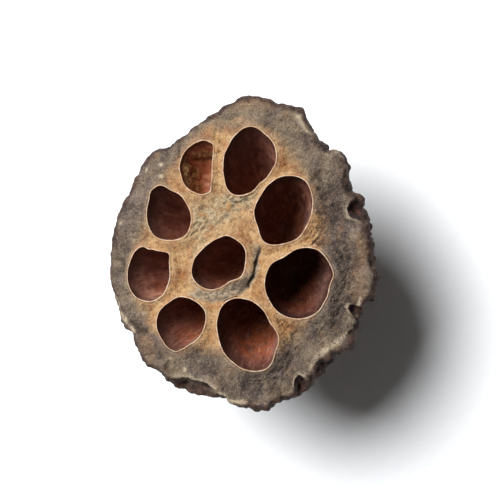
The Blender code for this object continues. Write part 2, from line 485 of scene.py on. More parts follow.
@dataclass(frozen=True)
class SeedCell:
    """An empty seed cell.

    Attributes:
        name: Where the cell lies.
        centre: Middle of the opening.
        depth: From the lip to the bottom.
        outline: Radius of the opening by angle.
        weight: Length that shifts the border of the cell's share of the face.
        tone: How pale the parchment inside is, from 0 to 1, or how dark if negative: partly its
        own colour and partly painted light and shade, paler in the cells on the left and
        darker in the right one.
    """

    name: str
    centre: tuple
    depth: float
    outline: dict
    weight: float
    tone: float

    def edge(self, degrees: Array) -> Array:
        """Radius of the opening at each angle round its centre."""
        return closed_curve(self.outline, degrees)

    def outside(self, x: Array, y: Array) -> tuple[Array, Array]:
        """How each point lies to the opening.

        Args:
            x: The points' x.
            y: Their y.

        Returns:
            Distance outside the opening, and angle round its centre in degrees.
        """
        across, along = x - self.centre[0], y - self.centre[1]
        degrees = np.degrees(np.arctan2(along, across))
        return np.hypot(across, along) - self.edge(degrees), degrees


SEED_CELLS = (
    SeedCell("top", (2.2, 19.3), 17.5, {
        0: 5.5, 30: 6.1, 60: 6.4, 90: 7.4, 120: 6.5, 150: 5.8,
        180: 5.8, 210: 6.5, 240: 7.7, 270: 6.5, 300: 4.9, 330: 4.9,
    }, 6.0, 0.45),
    SeedCell("upper_right", (9.6, 8.9), 17.5, {
        0: 5.9, 30: 6.7, 60: 7.7, 90: 7.2, 120: 6.4, 150: 5.8,
        180: 6.3, 210: 6.4, 240: 7.7, 270: 6.8, 300: 6.3, 330: 5.7,
    }, 6.6, 0.25),
    SeedCell("right", (12.8, -6.6), 17.5, {
        0: 6.6, 15: 7.5, 30: 7.7, 60: 8.2, 90: 7.4, 120: 6.5, 150: 7.2,
        180: 7.2, 210: 7.1, 240: 7.3, 270: 7.2, 300: 7.0, 330: 6.4,
    }, 7.2, -0.45),
    SeedCell("bottom", (1.7, -17.6), 17.5, {
        0: 6.5, 30: 5.6, 60: 6.5, 90: 7.7, 120: 8.5, 150: 7.5,
        180: 6.4, 210: 6.2, 240: 6.4, 270: 7.1, 300: 7.8, 330: 6.7,
    }, 6.8, 0.15),
    SeedCell("lower_left", (-13.0, -15.3), 16.0, {
        0: 5.2, 30: 6.0, 60: 5.9, 90: 5.9, 120: 5.4, 150: 5.5,
        180: 5.5, 210: 5.3, 240: 5.6, 255: 5.7, 270: 5.0, 300: 4.4, 330: 4.7,
    }, 5.4, 0.55),
    SeedCell("left", (-20.1, -4.5), 15.5, {
        0: 4.6, 30: 5.2, 44: 6.1, 60: 5.5, 77: 5.2, 90: 5.2, 105: 5.9, 120: 5.8,
        150: 5.0, 180: 4.9, 210: 5.2, 240: 5.7, 270: 5.7, 300: 5.3, 330: 4.7,
    }, 5.3, 1.0),
    SeedCell("upper_left", (-15.4, 8.5), 16.0, {
        0: 4.5, 30: 4.1, 60: 4.3, 90: 4.8, 112: 6.3, 130: 6.4, 150: 5.6,
        180: 5.3, 210: 5.5, 240: 5.9, 270: 5.7, 300: 5.8, 330: 5.2,
    }, 5.2, 0.85),
    SeedCell("small", (-9.7, 18.2), 7.0, {
        0: 3.4, 30: 4.1, 45: 5.2, 55: 6.0, 73: 5.9, 90: 5.2, 120: 4.4, 150: 3.8,
        180: 3.6, 210: 3.7, 240: 4.5, 264: 5.2, 285: 5.9, 300: 6.0, 314: 4.7, 330: 3.9,
    }, 4.2, 0.0),
    SeedCell("centre", (-4.6, -2.1), 18.0, {
        0: 5.8, 30: 6.4, 60: 6.1, 73: 5.9, 90: 5.2, 120: 4.5, 150: 4.6, 171: 5.3,
        180: 5.5, 199: 6.2, 210: 6.4, 240: 6.1, 255: 5.8, 270: 5.3, 300: 4.5, 330: 5.6,
    }, 5.6, 0.5),
)
# Place in the list, which a cell's points keep, by name
CELL_NUMBERS = {cell.name: number for number, cell in enumerate(SEED_CELLS)}


@dataclass(frozen=True)
class Break:
    """A stretch of the crest that has broken away.

    Attributes:
        angle: Middle of the stretch.
        half_width: Half its width, in degrees.
        depth: How far the crest is set back.
        pit: How deep the hollow between crest and band is.
        shade: How dark the painted shade in that hollow is and how rough the hollow is, from
        0 to 1.
    """

    angle: float
    half_width: float
    depth: float
    pit: float
    shade: float = 1.0

    def within(self, degrees: Array) -> Array:
        """1 in the middle of the stretch, 0 outside it."""
        return ease(self.half_width, 0.35 * self.half_width, angle_gap(degrees, self.angle))


@dataclass(frozen=True)
class Rim:
    """The lobed rim: its outline, its broken stretches and the rise and fall of its crest.

    Attributes:
        outline: Radius of the band, by angle.
        breaks: Where the crest has broken back.
        wave: How far the crest rises and falls.
    """

    outline: dict
    breaks: tuple
    wave: float

    def radius(self, degrees: Array) -> Array:
        """Radius of the band at each angle."""
        return closed_curve(self.outline, degrees)

    def set_back(self, degrees: Array) -> Array:
        """How far the crest is broken back: most over the middle third of each stretch.

        Args:
            degrees: Angles.

        Returns:
            The distance at each angle.
        """
        depth = np.zeros(np.shape(degrees))
        for gap in self.breaks:
            away = angle_gap(degrees, gap.angle)
            depth += gap.depth * np.clip(1.5 - 1.5 * away / gap.half_width, 0, 1)
        return depth

    def pit(self, degrees: Array) -> Array:
        """Depth of the hollow between crest and band at each angle."""
        return sum(gap.pit * gap.within(degrees) for gap in self.breaks)

    def shade(self, degrees: Array) -> Array:
        """How dark that hollow is at each angle."""
        # The darkness of the hollow is painted shade.
        return sum(gap.shade * gap.within(degrees) for gap in self.breaks)

    def smooth(self, degrees: Array) -> Array:
        """How smooth that hollow is at each angle."""
        return sum((1 - gap.shade) * gap.within(degrees) for gap in self.breaks)

    def crest_height(self, degrees: Array) -> Array:
        """Height of the crest over its mean: a sum of three sines round the rim.

        Args:
            degrees: Angles.

        Returns:
            The height at each angle.
        """
        turn = np.radians(degrees)
        waves = np.sin(5 * turn + 0.6) + 0.7 * np.sin(8 * turn + 2.1) + 0.5 * np.sin(13 * turn)
        return self.wave * waves / 2.2


RIM = Rim(
    outline={
        0: 27.8, 10: 27.2, 20: 27.4, 30: 26.6, 35: 27.6, 40: 29.3, 45: 29.9, 50: 28.5,
        60: 30.0, 65: 32.0, 70: 33.0, 77: 32.6, 80: 33.4, 90: 33.1, 97: 31.6, 100: 30.9,
        110: 29.3, 120: 28.1, 127: 28.2, 130: 29.2, 135: 29.6, 145: 28.8, 153: 28.4,
        160: 28.9, 167: 29.2, 175: 29.5, 185: 29.8, 195: 30.3, 203: 30.1, 210: 31.0,
        214: 30.2, 220: 31.2, 228: 32.1, 235: 31.9, 240: 32.3, 248: 32.3, 256: 31.7,
        262: 31.4, 266: 32.5, 278: 33.5, 285: 32.4, 293: 32.3, 300: 30.6, 307: 29.8,
        313: 29.2, 319: 30.6, 325: 28.7, 330: 28.3, 336: 28.0, 342: 29.3, 348: 29.7,
        354: 28.5,
    },
    breaks=(
        Break(20, 5.5, 1.8, 1.2),
        Break(250, 11, 2.2, 1.3, 0.25),
        Break(294.5, 3.6, 2.0, 1.4),
        Break(306, 5, 1.0, 0.6),
        Break(334, 3.0, 1.3, 1.0),
    ),
    wave=0.55,
)


@dataclass(frozen=True)
class AirChannels:
    """A ring of air channels in the cut end of the stem.

    Attributes:
        count: How many there are.
        ring_radius: Radius of the ring.
        radius: Radius of a channel.
        first_angle: Angle of the first.
    """

    count: int
    ring_radius: float
    radius: float
    first_angle: float


@dataclass(frozen=True)
class FaceMark:
    """A crack or notch of the face.

    Attributes:
        line: Its corners, x and y each.
        depth: How deep it is.
        width: Half its width.
    """

    line: tuple
    depth: float
    width: float


FACE_MARKS = (
    FaceMark(((4.4, 1.0), (3.4, -2.6), (3.0, -4.8), (2.1, -6.2), (1.8, -7.1)), 0.75, 0.26),
    FaceMark(((1.8, -7.1), (-0.6, -9.0), (-2.6, -9.7), (-4.6, -9.8)), 0.30, 0.40),
    FaceMark(((-13.7, 22.6), (-13.5, 20.4)), 0.45, 0.30),
    FaceMark(((-15.8, -23.2), (-17.0, -25.2), (-17.7, -26.3)), 0.38, 0.55),
    FaceMark(((-9.6, -21.3), (-8.4, -20.9)), 0.30, 0.25),
    FaceMark(((-24.5, -15.0), (-22.6, -16.4), (-21.0, -17.1)), 0.45, 0.70),
    FaceMark(((15.6, 15.0), (17.2, 17.2)), 0.30, 0.50),
    FaceMark(((17.0, 8.5), (17.6, 6.0), (17.2, 4.0)), 0.28, 0.22),
    FaceMark(((18.2, 7.0), (18.6, 3.5)), 0.22, 0.20),
)


class Zone(Enum):
    """The parts of the skin, as the number that its points keep."""

    FACE = 0
    LIP = 1
    HOLLOW = 2
    SIDE = 3
    CUT = 4


@dataclass(frozen=True)
class SeedHead:
    """The pod's skin.

    Attributes:
        face_height: Height of the face where it meets the rim.
        dome: How much higher the face stands in its middle.
        collar_rise: Swelling of the face towards each lip.
        collar_reach: How far out that swelling goes.
        ring_share: Share of the rim's radius at which the punched face ends.
        columns: Points in a ring of the side. It halves twice on the way down.
        spacing: Distance between points on the borders of the face.
        face_rows: Rings of points between a share's border and the lip.
        hollow_rows: Rings of points down a cell.
        apex_depth: The cells point at the stem's axis this far under the face.
        lip: Steps over a lip: distance outside the opening and height over the face.
        side: The side's profile for a rim of radius profile_rim: radius and height.
        profile_rim: Rim radius for which the side is given.
        neck_height: Below this height the stem is round.
        neck_fade: Height over which ribs and lobes grow out of the neck.
        ribs: How many ribs run down the cone.
        side_length: Length of the side's profile, from the face's ring to the cut.
        channels: Air channels in the cut.
        channel_depth: Their depth.
        bore: A channel's wall: share of its radius, and of its depth in thirds.
    """

    face_height: float = 33.6
    dome: float = 1.7
    collar_rise: float = 0.7
    collar_reach: float = 2.2
    ring_share: float = 0.945
    columns: int = 640
    spacing: float = 0.36
    face_rows: int = 14
    hollow_rows: int = 20
    apex_depth: float = 45.0
    lip: tuple = (
        (0.60, 0.02), (0.46, 0.06), (0.34, 0.10), (0.25, 0.15), (0.15, 0.18), (0.05, 0.17),
        (0.00, 0.12), (0.00, 0.03),
    )
    side: tuple = (
        (28.35, 33.60), (29.2, 33.40), (29.75, 32.75), (30.0, 31.8), (30.1, 30.8),
        (29.9, 29.6), (28.9, 28.4), (27.6, 26.4), (25.0, 22.6), (21.6, 18.4),
        (17.8, 14.3), (14.0, 10.8), (11.0, 8.2), (9.2, 6.6), (9.05, 5.7), (8.6, 4.9),
        (7.3, 4.3), (6.75, 3.4), (6.5, 2.2), (6.35, 1.0), (6.25, 0.35), (6.1, 0.0),
    )
    profile_rim: float = 30.0
    neck_height: float = 4.0
    neck_fade: float = 6.0
    ribs: int = 48
    side_length: float = 52.0
    channels: tuple = (AirChannels(4, 2.7, 1.0, 45), AirChannels(8, 4.7, 0.45, 22.5))
    channel_depth: float = 3.0
    bore: tuple = ((1.0, 0.25), (1.0, 1.2), (1.0, 2.2), (0.8, 2.8), (0.4, 3.0))

    def top_height(self, x: Array, y: Array) -> Array:
        """Height of the face: a low dome that swells towards every lip and waves at the rim.

        The dome falls with the square of the share of the rim's radius, a collar falls as
        exp(-d^2) with the distance from the opening, and the crest's wave fades in near the rim.

        Args:
            x: Places, x.
            y: Places, y.

        Returns:
            The height of each place.
        """
        degrees = np.degrees(np.arctan2(y, x))
        share = np.hypot(x, y) / RIM.radius(degrees)
        swelling = np.zeros(np.shape(x))
        for cell in SEED_CELLS:
            outside, _ = cell.outside(x, y)
            swelling = np.maximum(swelling, bell(np.clip(outside, 0, None), self.collar_reach))
        height = self.face_height + self.dome * np.clip(1 - share**2, 0, 1)
        crest = RIM.crest_height(degrees) * ease(0.86, 1.0, share)
        return height + self.collar_rise * (swelling - 1) + crest

    def build(self) -> bpy.types.Mesh:
        """Sews the face, the cells, the side and the cut, then raises their relief.

        Returns:
            The finished mesh.
        """
        skin = Skin(("zone", "depth", "outside", "cell", "round"))
        degrees = 360 * np.arange(self.columns) / self.columns
        ring = self.ring_at(degrees)
        shares = share_out(
            np.array([cell.centre for cell in SEED_CELLS]),
            np.array([cell.weight for cell in SEED_CELLS]),
            ring,
            self.spacing,
        )
        x, y = shares.points.T
        outside = np.min([cell.outside(x, y)[0] for cell in SEED_CELLS], axis=0)
        place = np.stack([x, y, self.top_height(x, y)], axis=-1)
        border = skin.add(place, zone=Zone.FACE.value, outside=outside)
        for number, (cell, loop) in enumerate(zip(SEED_CELLS, shares.loops)):
            self.add_cell(skin, cell, number, border[loop], shares.points[loop])
        foot = self.add_side(skin, border[: self.columns], degrees)
        self.add_cut(skin, foot)
        points, fields = skin.gathered()
        relief = Relief(self, points, fields)
        moved = points + skin.normals(points) * relief.height()[:, None]
        return skin.mesh("seed_head", moved, relief.attributes())

    def ring_radius(self, degrees: Array) -> Array:
        """Radius at which the punched face meets the side, at each angle."""
        return self.ring_share * RIM.radius(degrees) - 0.8 * RIM.set_back(degrees)

    def ring_at(self, degrees: Array) -> Array:
        """The ring where the punched face meets the side.

        Args:
            degrees: Angles.

        Returns:
            One row of x and y for each angle.
        """
        return np.stack(around((0, 0), self.ring_radius(degrees), np.radians(degrees)), axis=1)

    def add_cell(self, skin: Skin, cell: SeedCell, number: int, border: Array,
                 places: Array) -> None:
        """Adds a cell's share of the face, its lip and its hollow.

        Along a ray from the cell's centre the rings go from the border to the lip's foot, over
        the lip and down the wall to the bottom, which closes on one point.

        Args:
            skin: What the points are added to.
            cell: The cell.
            number: The cell's place in the list, which its points keep.
            border: Numbers of the points round the share.
            places: Their x and y.
        """
        across, along = (places - cell.centre).T
        turn = np.arctan2(along, across)
        degrees = np.degrees(turn)
        reach = np.hypot(across, along)
        circle = wrapped(turn, 2.2, 0 * turn + 9 * number)
        edge = cell.edge(degrees) + 0.10 * Grain.LIP_EDGE.on(circle)

        steps = 1 - (np.arange(1, self.face_rows + 1) / self.face_rows) ** 0.9
        foot = self.lip[0][0]
        outside = foot + steps[:, None] * (reach - edge - foot)
        x, y = around(cell.centre, edge + outside, turn)
        face = skin.add(
            np.stack([x, y, self.top_height(x, y)], axis=-1),
            zone=Zone.FACE.value, outside=outside, cell=number, round=degrees,
        )

        width, rise = np.array(self.lip[1:]).T[:, :, None]
        standing = np.clip(0.75 + 0.55 * Grain.LIP_HEIGHT.on(circle + 5), 0.15, 1.35)
        x, y = around(cell.centre, edge + width, turn)
        lip = skin.add(
            np.stack([x, y, self.top_height(x, y) + rise * standing], axis=-1),
            zone=Zone.LIP.value, outside=width, cell=number, round=degrees,
        )
        skin.sew(np.concatenate([border[None], face, lip]))

        half = slice(0, None, 2)
        share, depth = self.hollow_profile(cell)
        share, depth = share[:-1, None], depth[:-1, None]
        top = self.top_height(x[-1], y[-1])[None, half]
        middle = float(self.top_height(*np.array(cell.centre)[:, None])[0])
        level = top + (middle - top) * ease(0, 0.35, depth / cell.depth)
        narrowing = 1 - depth / self.apex_depth
        smoothed = ease(0, 0.3, depth / cell.depth)
        reach = edge[None, half] * (1 - smoothed) + cell.edge(degrees)[None, half] * smoothed
        x, y = (flat * narrowing for flat in around(cell.centre, reach * share, turn[half]))
        deep = np.broadcast_to(depth, x.shape)
        wall = skin.add(
            np.stack([x, y, level - deep], axis=-1), zone=Zone.HOLLOW.value,
            depth=deep / cell.depth, outside=-deep, cell=number, round=degrees[half],
        )
        bottom = np.array([*(np.array(cell.centre) * (1 - cell.depth / self.apex_depth)),
                           middle - cell.depth])
        pole = skin.add(bottom[None], zone=Zone.HOLLOW.value, depth=1.0, outside=-cell.depth,
                        cell=number)
        skin.halve(lip[-1], wall[0])
        skin.sew(wall)
        skin.close(wall[-1], pole[0])

    def hollow_profile(self, cell: SeedCell) -> tuple[Array, Array]:
        """Evenly spaced places down a cell's wall to its bottom.

        The radius share is 1.03 sqrt(1 - d^5) at the share d of the depth, and starts at 1.

        Args:
            cell: The cell.

        Returns:
            Share of the opening's radius, and depth.
        """
        down = 1 - (1 - np.linspace(0, 1, 400)) ** 2
        share = np.sqrt(1 - down**5) * (1 + 0.03 * ease(0, 0.15, down))
        radius = share * np.mean(list(cell.outline.values()))
        length = np.hypot(np.diff(radius), np.diff(down * cell.depth))
        length = np.concatenate([[0], np.cumsum(length)])
        wanted = np.linspace(0.3, length[-1], self.hollow_rows)
        return np.interp(wanted, length, share), np.interp(wanted, length, down) * cell.depth

    def add_side(self, skin: Skin, ring: Array, degrees: Array) -> Array:
        """Adds the rim's crest, the band, the cone and the neck, with fewer columns lower down.

        A ring of the profile is scaled by the rim's outline. Towards the neck it becomes a
        circle, and the crest's own rise and set-back fade out over the band.

        Args:
            skin: What the points are added to.
            ring: Numbers of the points of the face's edge.
            degrees: Their angles.

        Returns:
            Numbers of the points round the cut.
        """
        radius, height, length = self.side_profile()
        above = ring
        thinned = (round(len(radius) * 0.42), round(len(radius) * 0.72))
        for first, last in itertools.pairwise((0, *thinned, len(radius))):
            rows = slice(first, last)
            place, depth = self.side_points(
                radius[rows, None], height[rows, None], length[rows, None], degrees[None]
            )
            numbers = skin.add(place, zone=Zone.SIDE.value, depth=depth, outside=5.0,
                               round=degrees)
            if first == 0:
                skin.sew(np.concatenate([above[None], numbers]), flipped=True)
            else:
                skin.halve(above, numbers[0], flipped=True)
                skin.sew(numbers, flipped=True)
            above = numbers[-1]
            if last < len(radius):
                degrees = degrees[::2]
        return above

    def side_profile(self) -> tuple[Array, Array, Array]:
        """The side's profile as a curve led along the table's points.

        The table is filled in with straight lines and smoothed by a mean over a short stretch.

        Returns:
            Radius, height and length from the ring, in closer steps on rim and band.
        """
        knots = np.array(self.side)
        gaps = np.concatenate([[0], np.cumsum(np.hypot(*np.diff(knots, axis=0).T))])
        fine = np.linspace(0, gaps[-1], 1500)
        kernel = np.hanning(45) / np.hanning(45).sum()
        beyond = len(kernel) // 2
        close_step, wide_step, band_end = 0.28, 0.62, 8.0
        near = np.arange(close_step, band_end, close_step)
        far = np.arange(band_end, gaps[-1] - 0.3, wide_step)
        wanted = np.concatenate([near, far, [gaps[-1]]])
        smooth = []
        for column in knots.T:
            padded = np.pad(np.interp(fine, gaps, column), beyond, "reflect", reflect_type="odd")
            smooth.append(np.interp(wanted, fine, np.convolve(padded, kernel, mode="valid")))
        return smooth[0], smooth[1], wanted

    def side_points(self, radius: Array, height: Array, length: Array,
                    degrees: Array) -> tuple[Array, Array]:
        """Places of some rings of the side.

        Args:
            radius: The profile's radius, one row for each ring.
            height: Its height.
            length: Its length from the face's ring.
            degrees: Angles, one column each.

        Returns:
            The places, and how far down the side each lies from 0 to 1.
        """
        lobes = RIM.radius(degrees) / self.profile_rim - 1
        span = self.face_height - self.neck_height
        lobed = np.clip((height - self.neck_height) / span, 0, 1) ** 0.8
        on_crest = 1 - ease(0.8, 3.4, length)
        pit = RIM.pit(degrees) * bell(length - 2.1, 0.9)
        reach = radius * (1 + lobed * lobes)
        broken = RIM.set_back(degrees) * (0.8 + 0.2 * ease(0, 0.8, length)) * on_crest
        reach = reach - broken - 0.6 * pit
        x, y = around((0, 0), reach, np.radians(degrees))
        edge = self.ring_at(degrees[0])
        rise = self.top_height(*edge.T) - self.face_height
        fade = 1 - ease(0.3, 5.0, length)
        z = height + rise * fade - 0.9 * pit + 0 * degrees
        return np.stack([x, y, z], axis=-1), np.broadcast_to(length / self.side_length, x.shape)

    def add_cut(self, skin: Skin, foot: Array) -> None:
        """Adds the cut end of the stem with its blind air channels.

        Args:
            skin: What the points are added to.
            foot: Numbers of the points round the cut.
        """
        centres, radii = [], []
        for channels in self.channels:
            for index in range(channels.count):
                turn = math.radians(channels.first_angle + 360 * index / channels.count)
                centres.append(around((0, 0), channels.ring_radius, turn))
                radii.append(channels.radius)
        ring = np.concatenate(skin.points)[foot][:, :2]
        shares = share_out(np.array(centres), np.array(radii), ring, self.spacing)
        inner = shares.points[len(ring):]
        flat = np.concatenate([inner, np.zeros((len(inner), 1))], axis=1)
        numbers = np.concatenate([foot, skin.add(flat, zone=Zone.CUT.value)])
        for centre, radius, loop in zip(centres, radii, shares.loops):
            self.add_channel(skin, np.array(centre), radius, numbers[loop], shares.points[loop])

    def add_channel(self, skin: Skin, centre: Array, radius: float, border: Array,
                    places: Array) -> None:
        """Adds an air channel's share of the cut and its round, blind bore.

        Args:
            skin: What the points are added to.
            centre: The channel's middle.
            radius: Its radius.
            border: Numbers of the points round its share.
            places: Their x and y.
        """
        gap = places - centre
        turn = np.arctan2(gap[:, 1], gap[:, 0])
        reach = np.hypot(*gap.T)
        steps = np.array([0.6, 0.25, 0.0])[:, None]
        across = radius + steps * (reach - radius)
        bore = np.array(self.bore)
        depth = bore[:, 1:] * self.channel_depth / 3
        across = np.concatenate([across, bore[:, :1] * radius + 0 * reach])
        z = np.concatenate([np.zeros(steps.shape), depth]) + 0 * reach
        x, y = around(centre, across, turn)
        deep = z / self.channel_depth
        rows = skin.add(np.stack([x, y, z], axis=-1), zone=Zone.CUT.value, depth=deep)
        pole = skin.add(np.array([[*centre, self.channel_depth]]), zone=Zone.CUT.value, depth=1.0)
        skin.sew(np.concatenate([border[None], rows]), flipped=True)
        skin.close(rows[-1], pole[0], flipped=True)


@dataclass(frozen=True)
class Heights:
    """How high each kind of relief stands, in millimetres.

    Attributes:
        swelling: Broad swellings of the face.
        lump: Lumps between creases all over the face.
        margin_lump: What the grey margin adds to them.
        dent: Dents of the margin.
        wrinkle: Wrinkles of the face.
        crumb: Its finest crumbs.
        streak: Grooves along the outer edge of the large cells.
        pit: Depth of the pits.
        knob: Knobs of the band.
        band: Fine roughness on them.
        rib: Ribs of the cone.
        furrow: Furrows down the cone.
        cone: Fine roughness of the cone.
        scar: Depth of the round scars.
        neck: Wrinkles of the neck.
        wall_ring: Rings round a cell's wall.
        wall_fold: Folds down it.
        bottom: Wrinkles of a cell's bottom.
        remnant: Thickness of the tissue in the small cell.
        remnant_fold: Its crumples.
    """

    swelling: float = 0.28
    lump: float = 0.08
    margin_lump: float = 0.11
    dent: float = 0.17
    wrinkle: float = 0.12
    crumb: float = 0.08
    streak: float = 0.20
    pit: float = 0.24
    knob: float = 0.60
    band: float = 0.18
    rib: float = 0.42
    furrow: float = 0.24
    cone: float = 0.05
    scar: float = 0.22
    neck: float = 0.06
    wall_ring: float = 0.08
    wall_fold: float = 0.20
    bottom: float = 0.22
    remnant: float = 0.5
    remnant_fold: float = 0.8


@dataclass(frozen=True)
class Scars:
    """Rows of small round scars round the lower cone, where the stamens sat.

    Attributes:
        pitch: From row to row.
        count: How many a row holds.
        lowest: Heights between which the rows fade in.
        highest: Heights between which they fade out.
    """

    pitch: float = 0.85
    count: int = 64
    lowest: tuple = (6.9, 7.3)
    highest: tuple = (11.2, 9.6)


class Relief:
    """The skin's wrinkles, lumps, cracks and knobs, and the fields that its finish reads."""

    def __init__(self, head: SeedHead, points: Array, fields: dict) -> None:
        """Works out where every point lies on the pod, and its main kinds of relief.

        Args:
            head: The pod's sizes.
            points: Places in millimetres, one row each.
            fields: The skin's fields.
        """
        self.head = head
        self.points = points
        self.x, self.y, self.z = points.T
        self.radius = np.hypot(self.x, self.y)
        self.turn = np.arctan2(self.y, self.x)
        self.degrees = np.degrees(self.turn) % 360
        self.depth = fields["depth"]
        self.outside = fields["outside"]
        self.cell = fields["cell"]
        self.around = fields["round"]
        self.face, self.lip, self.hollow, self.side, self.cut = (
            (fields["zone"] == zone.value).astype(float) for zone in Zone
        )
        self.small = (self.cell == CELL_NUMBERS["small"]) * self.hollow
        self.length = self.depth * head.side_length * self.side
        self.top = self.face + self.side * ease(3.0, 0.3, self.length)
        self.outer = ease(0.66, 0.90, self.radius / RIM.radius(self.degrees))
        self.band = self.side * ease(0.5, 1.8, self.length) * ease(9.0, 5.0, self.length)
        self.under_crest = self.side * ease(0.3, 0.9, self.length) * ease(4.2, 2.2, self.length)
        self.nearest = np.min([cell.outside(self.x, self.y)[0] for cell in SEED_CELLS], axis=0)
        bends = [bend.on(points) for bend in (Grain.BEND_X, Grain.BEND_Y, Grain.BEND_Z)]
        self.bent = points + 0.9 * np.stack(bends, axis=1)
        self.crack = self.cracks()
        self.pits = self.pitted()
        self.hatched, self.grooves = self.streaks()
        self.knob = self.knobs()
        self.lump = self.lumps()
        self.rib = self.ribs()

    def cracks(self) -> Array:
        """Depth of the cracks and notches of the face: a bell over the distance from each line.

        Returns:
            The depth at every point, in millimetres.
        """
        wobble = 0.25 * Grain.CRACK.on(self.points)
        crack = np.zeros(len(self.points))
        for mark in FACE_MARKS:
            gap = line_distance(self.x, self.y, mark.line)
            crack = np.maximum(crack, mark.depth * bell(np.clip(gap + wobble, 0, None), mark.width))
        return crack * self.face

    def pitted(self) -> Array:
        """Pits, from 0 to 1, where a noise drawn out along a slanting line is high.

        Returns:
            The strength at every point, greatest in the pitted patch and halved on the bark.
        """
        lean = math.radians(40)
        along = self.x * math.cos(lean) + self.y * math.sin(lean)
        across = self.y * math.cos(lean) - self.x * math.sin(lean)
        slanted = np.stack([0.5 * along, 1.3 * across, self.z], axis=1)
        speckled = np.maximum(Grain.PIT.on(slanted), Grain.FINE_PIT.on(slanted))
        return self.top * ease(0.32, 0.66, speckled) * (self.mottled() - 0.5 * self.bark())

    def streaks(self) -> tuple[Array, Array]:
        """Fine grooves that run along the outer edge of the large cells.

        Noise stretched along the rings at equal distance from the cell, shown only there.

        Returns:
            Where they show, from 0 to 1, and their height, from about -1 to 1.
        """
        total = np.zeros(len(self.points))
        hatched = np.zeros(len(self.points))
        for name, first, last in STREAKED_EDGES:
            outside, degrees = SEED_CELLS[CELL_NUMBERS[name]].outside(self.x, self.y)
            middle, half = (first + last) / 2, (last - first) / 2
            shown = ease(half + 10, half - 12, angle_gap(degrees, middle))
            shown = shown * ease(0.3, 1.0, outside) * ease(6.4, 3.6, outside) * self.face
            hatched = np.maximum(hatched, shown)
            place = np.roll(wrapped(np.radians(degrees), 4.5, outside / 0.42), 1, axis=1)
            total += shown * (0.75 * smooth_noise(place, 41) + 0.5 * smooth_noise(2 * place, 43))
        return hatched, total

    def lumps(self) -> Array:
        """Lumps of the face's grey margin between sharp creases.

        The size of a noise round zero gives rounded bumps with sharp creases. One noise is even,
        and one is drawn out from the middle to the rim, so that its creases run in from the rim.

        Returns:
            Height at every point, from about -1 in the creases to 1.
        """
        spokes = wrapped(self.turn, 33, 0.22 * self.radius) + 1.3 * (self.bent - self.points)
        broad = np.minimum(np.abs(Grain.SPOKE.on(spokes)), 0.5)
        even = np.abs(Grain.LUMP.on(self.bent)) + 0.7 * np.abs(Grain.CREASE.on(self.bent))
        return 0.9 * broad + 1.2 * even - 0.85

    def knobs(self) -> Array:
        """Knobs on the band: rounded bumps of 1 to 2 mm between sharp furrows.

        The size of a noise round zero gives the bumps, drawn out a little down the side.

        Returns:
            Height at every point, from about -1 to 1.
        """
        place = wrapped(self.turn, 30, 0.7 * self.z) + 0.6 * (self.bent - self.points)
        coarse, fine = np.abs(Grain.KNOB.on(place)), np.abs(Grain.FINE_KNOB.on(place))
        return 1.6 * coarse + 0.9 * fine - 0.85

    def ribs(self) -> Array:
        """Ribs down the cone: a cosine round the axis whose phase and strength drift with noise.

        Returns:
            Height at every point, from about -1 to 1.
        """
        place = wrapped(self.turn, 14, 0.35 * self.z)
        drift = 1.5 * Grain.RIB_DRIFT.on(place)
        strong = 0.65 + 0.5 * Grain.RIB_STRENGTH.on(place)
        return strong * np.cos(self.head.ribs * self.turn + drift)

    def scars(self) -> Array:
        """Round scars in rows, each row shifted by half a step against the next.

        Returns:
            1 in a scar, 0 beside it.
        """
        scars = Scars()
        row = self.z / scars.pitch
        column = self.degrees / 360 * scars.count + 0.5 * np.floor(row)
        gap = np.hypot(row % 1 - 0.5, (column % 1 - 0.5) * 1.1)
        shown = ease(*scars.lowest, self.z) * ease(*scars.highest, self.z) * self.side
        return shown * ease(0.34, 0.16, gap)

    def height(self) -> Array:
        """How far every point moves out along its normal.

        Returns:
            The sum of all relief, in millimetres.
        """
        return self.top * self.face_height() + self.side_height() + self.hollow * self.wall_height()

    def face_height(self) -> Array:
        """Swellings, lumps, dents, wrinkles and crumbs of the face, less its pits and cracks.

        Returns:
            The height at every point, in millimetres. It fades out towards the lips.
        """
        high = Heights()
        free = ease(0.0, 1.6, self.nearest)
        total = high.swelling * free * Grain.SWELLING.on(self.points) * (0.4 + self.outer)
        total += free * (high.lump + high.margin_lump * self.outer) * self.lump
        total += high.dent * free * self.outer * Grain.DENT.on(self.bent)
        total += high.wrinkle * free * Grain.WRINKLE.on(self.bent)
        total += high.crumb * ease(0.1, 0.6, self.nearest) * Grain.CRUMB.on(self.points)
        total += high.streak * self.grooves - high.pit * self.pits - self.crack
        return total

    def side_height(self) -> Array:
        """Knobs of the band, ribs and furrows of the cone, scars, and wrinkles of the neck.

        Returns:
            The height at every point, in millimetres.
        """
        high = Heights()
        low = self.head.neck_height
        grown = ease(low, low + self.head.neck_fade, self.z)
        down = self.side * ease(3.0, 7.0, self.length) * grown
        furrows = Grain.FURROW.on(wrapped(self.turn, 24, 0.22 * self.z))
        smooth = 1 - 0.9 * np.clip(self.under_crest * RIM.smooth(self.degrees), 0, 1)
        rough = 0.70 + 0.30 * np.cos(self.turn + math.radians(30))
        total = self.band * smooth * rough * (
            high.knob * self.knob + high.band * Grain.BAND.on(self.points))
        total += high.rib * down * self.rib
        total += down * (high.furrow * furrows + high.cone * Grain.CONE.on(self.points))
        total -= high.scar * self.scars()
        neck = self.side * (1 - grown) * ease(0, 0.5, self.z)
        total += neck * high.neck * Grain.NECK.on(self.points)
        return total

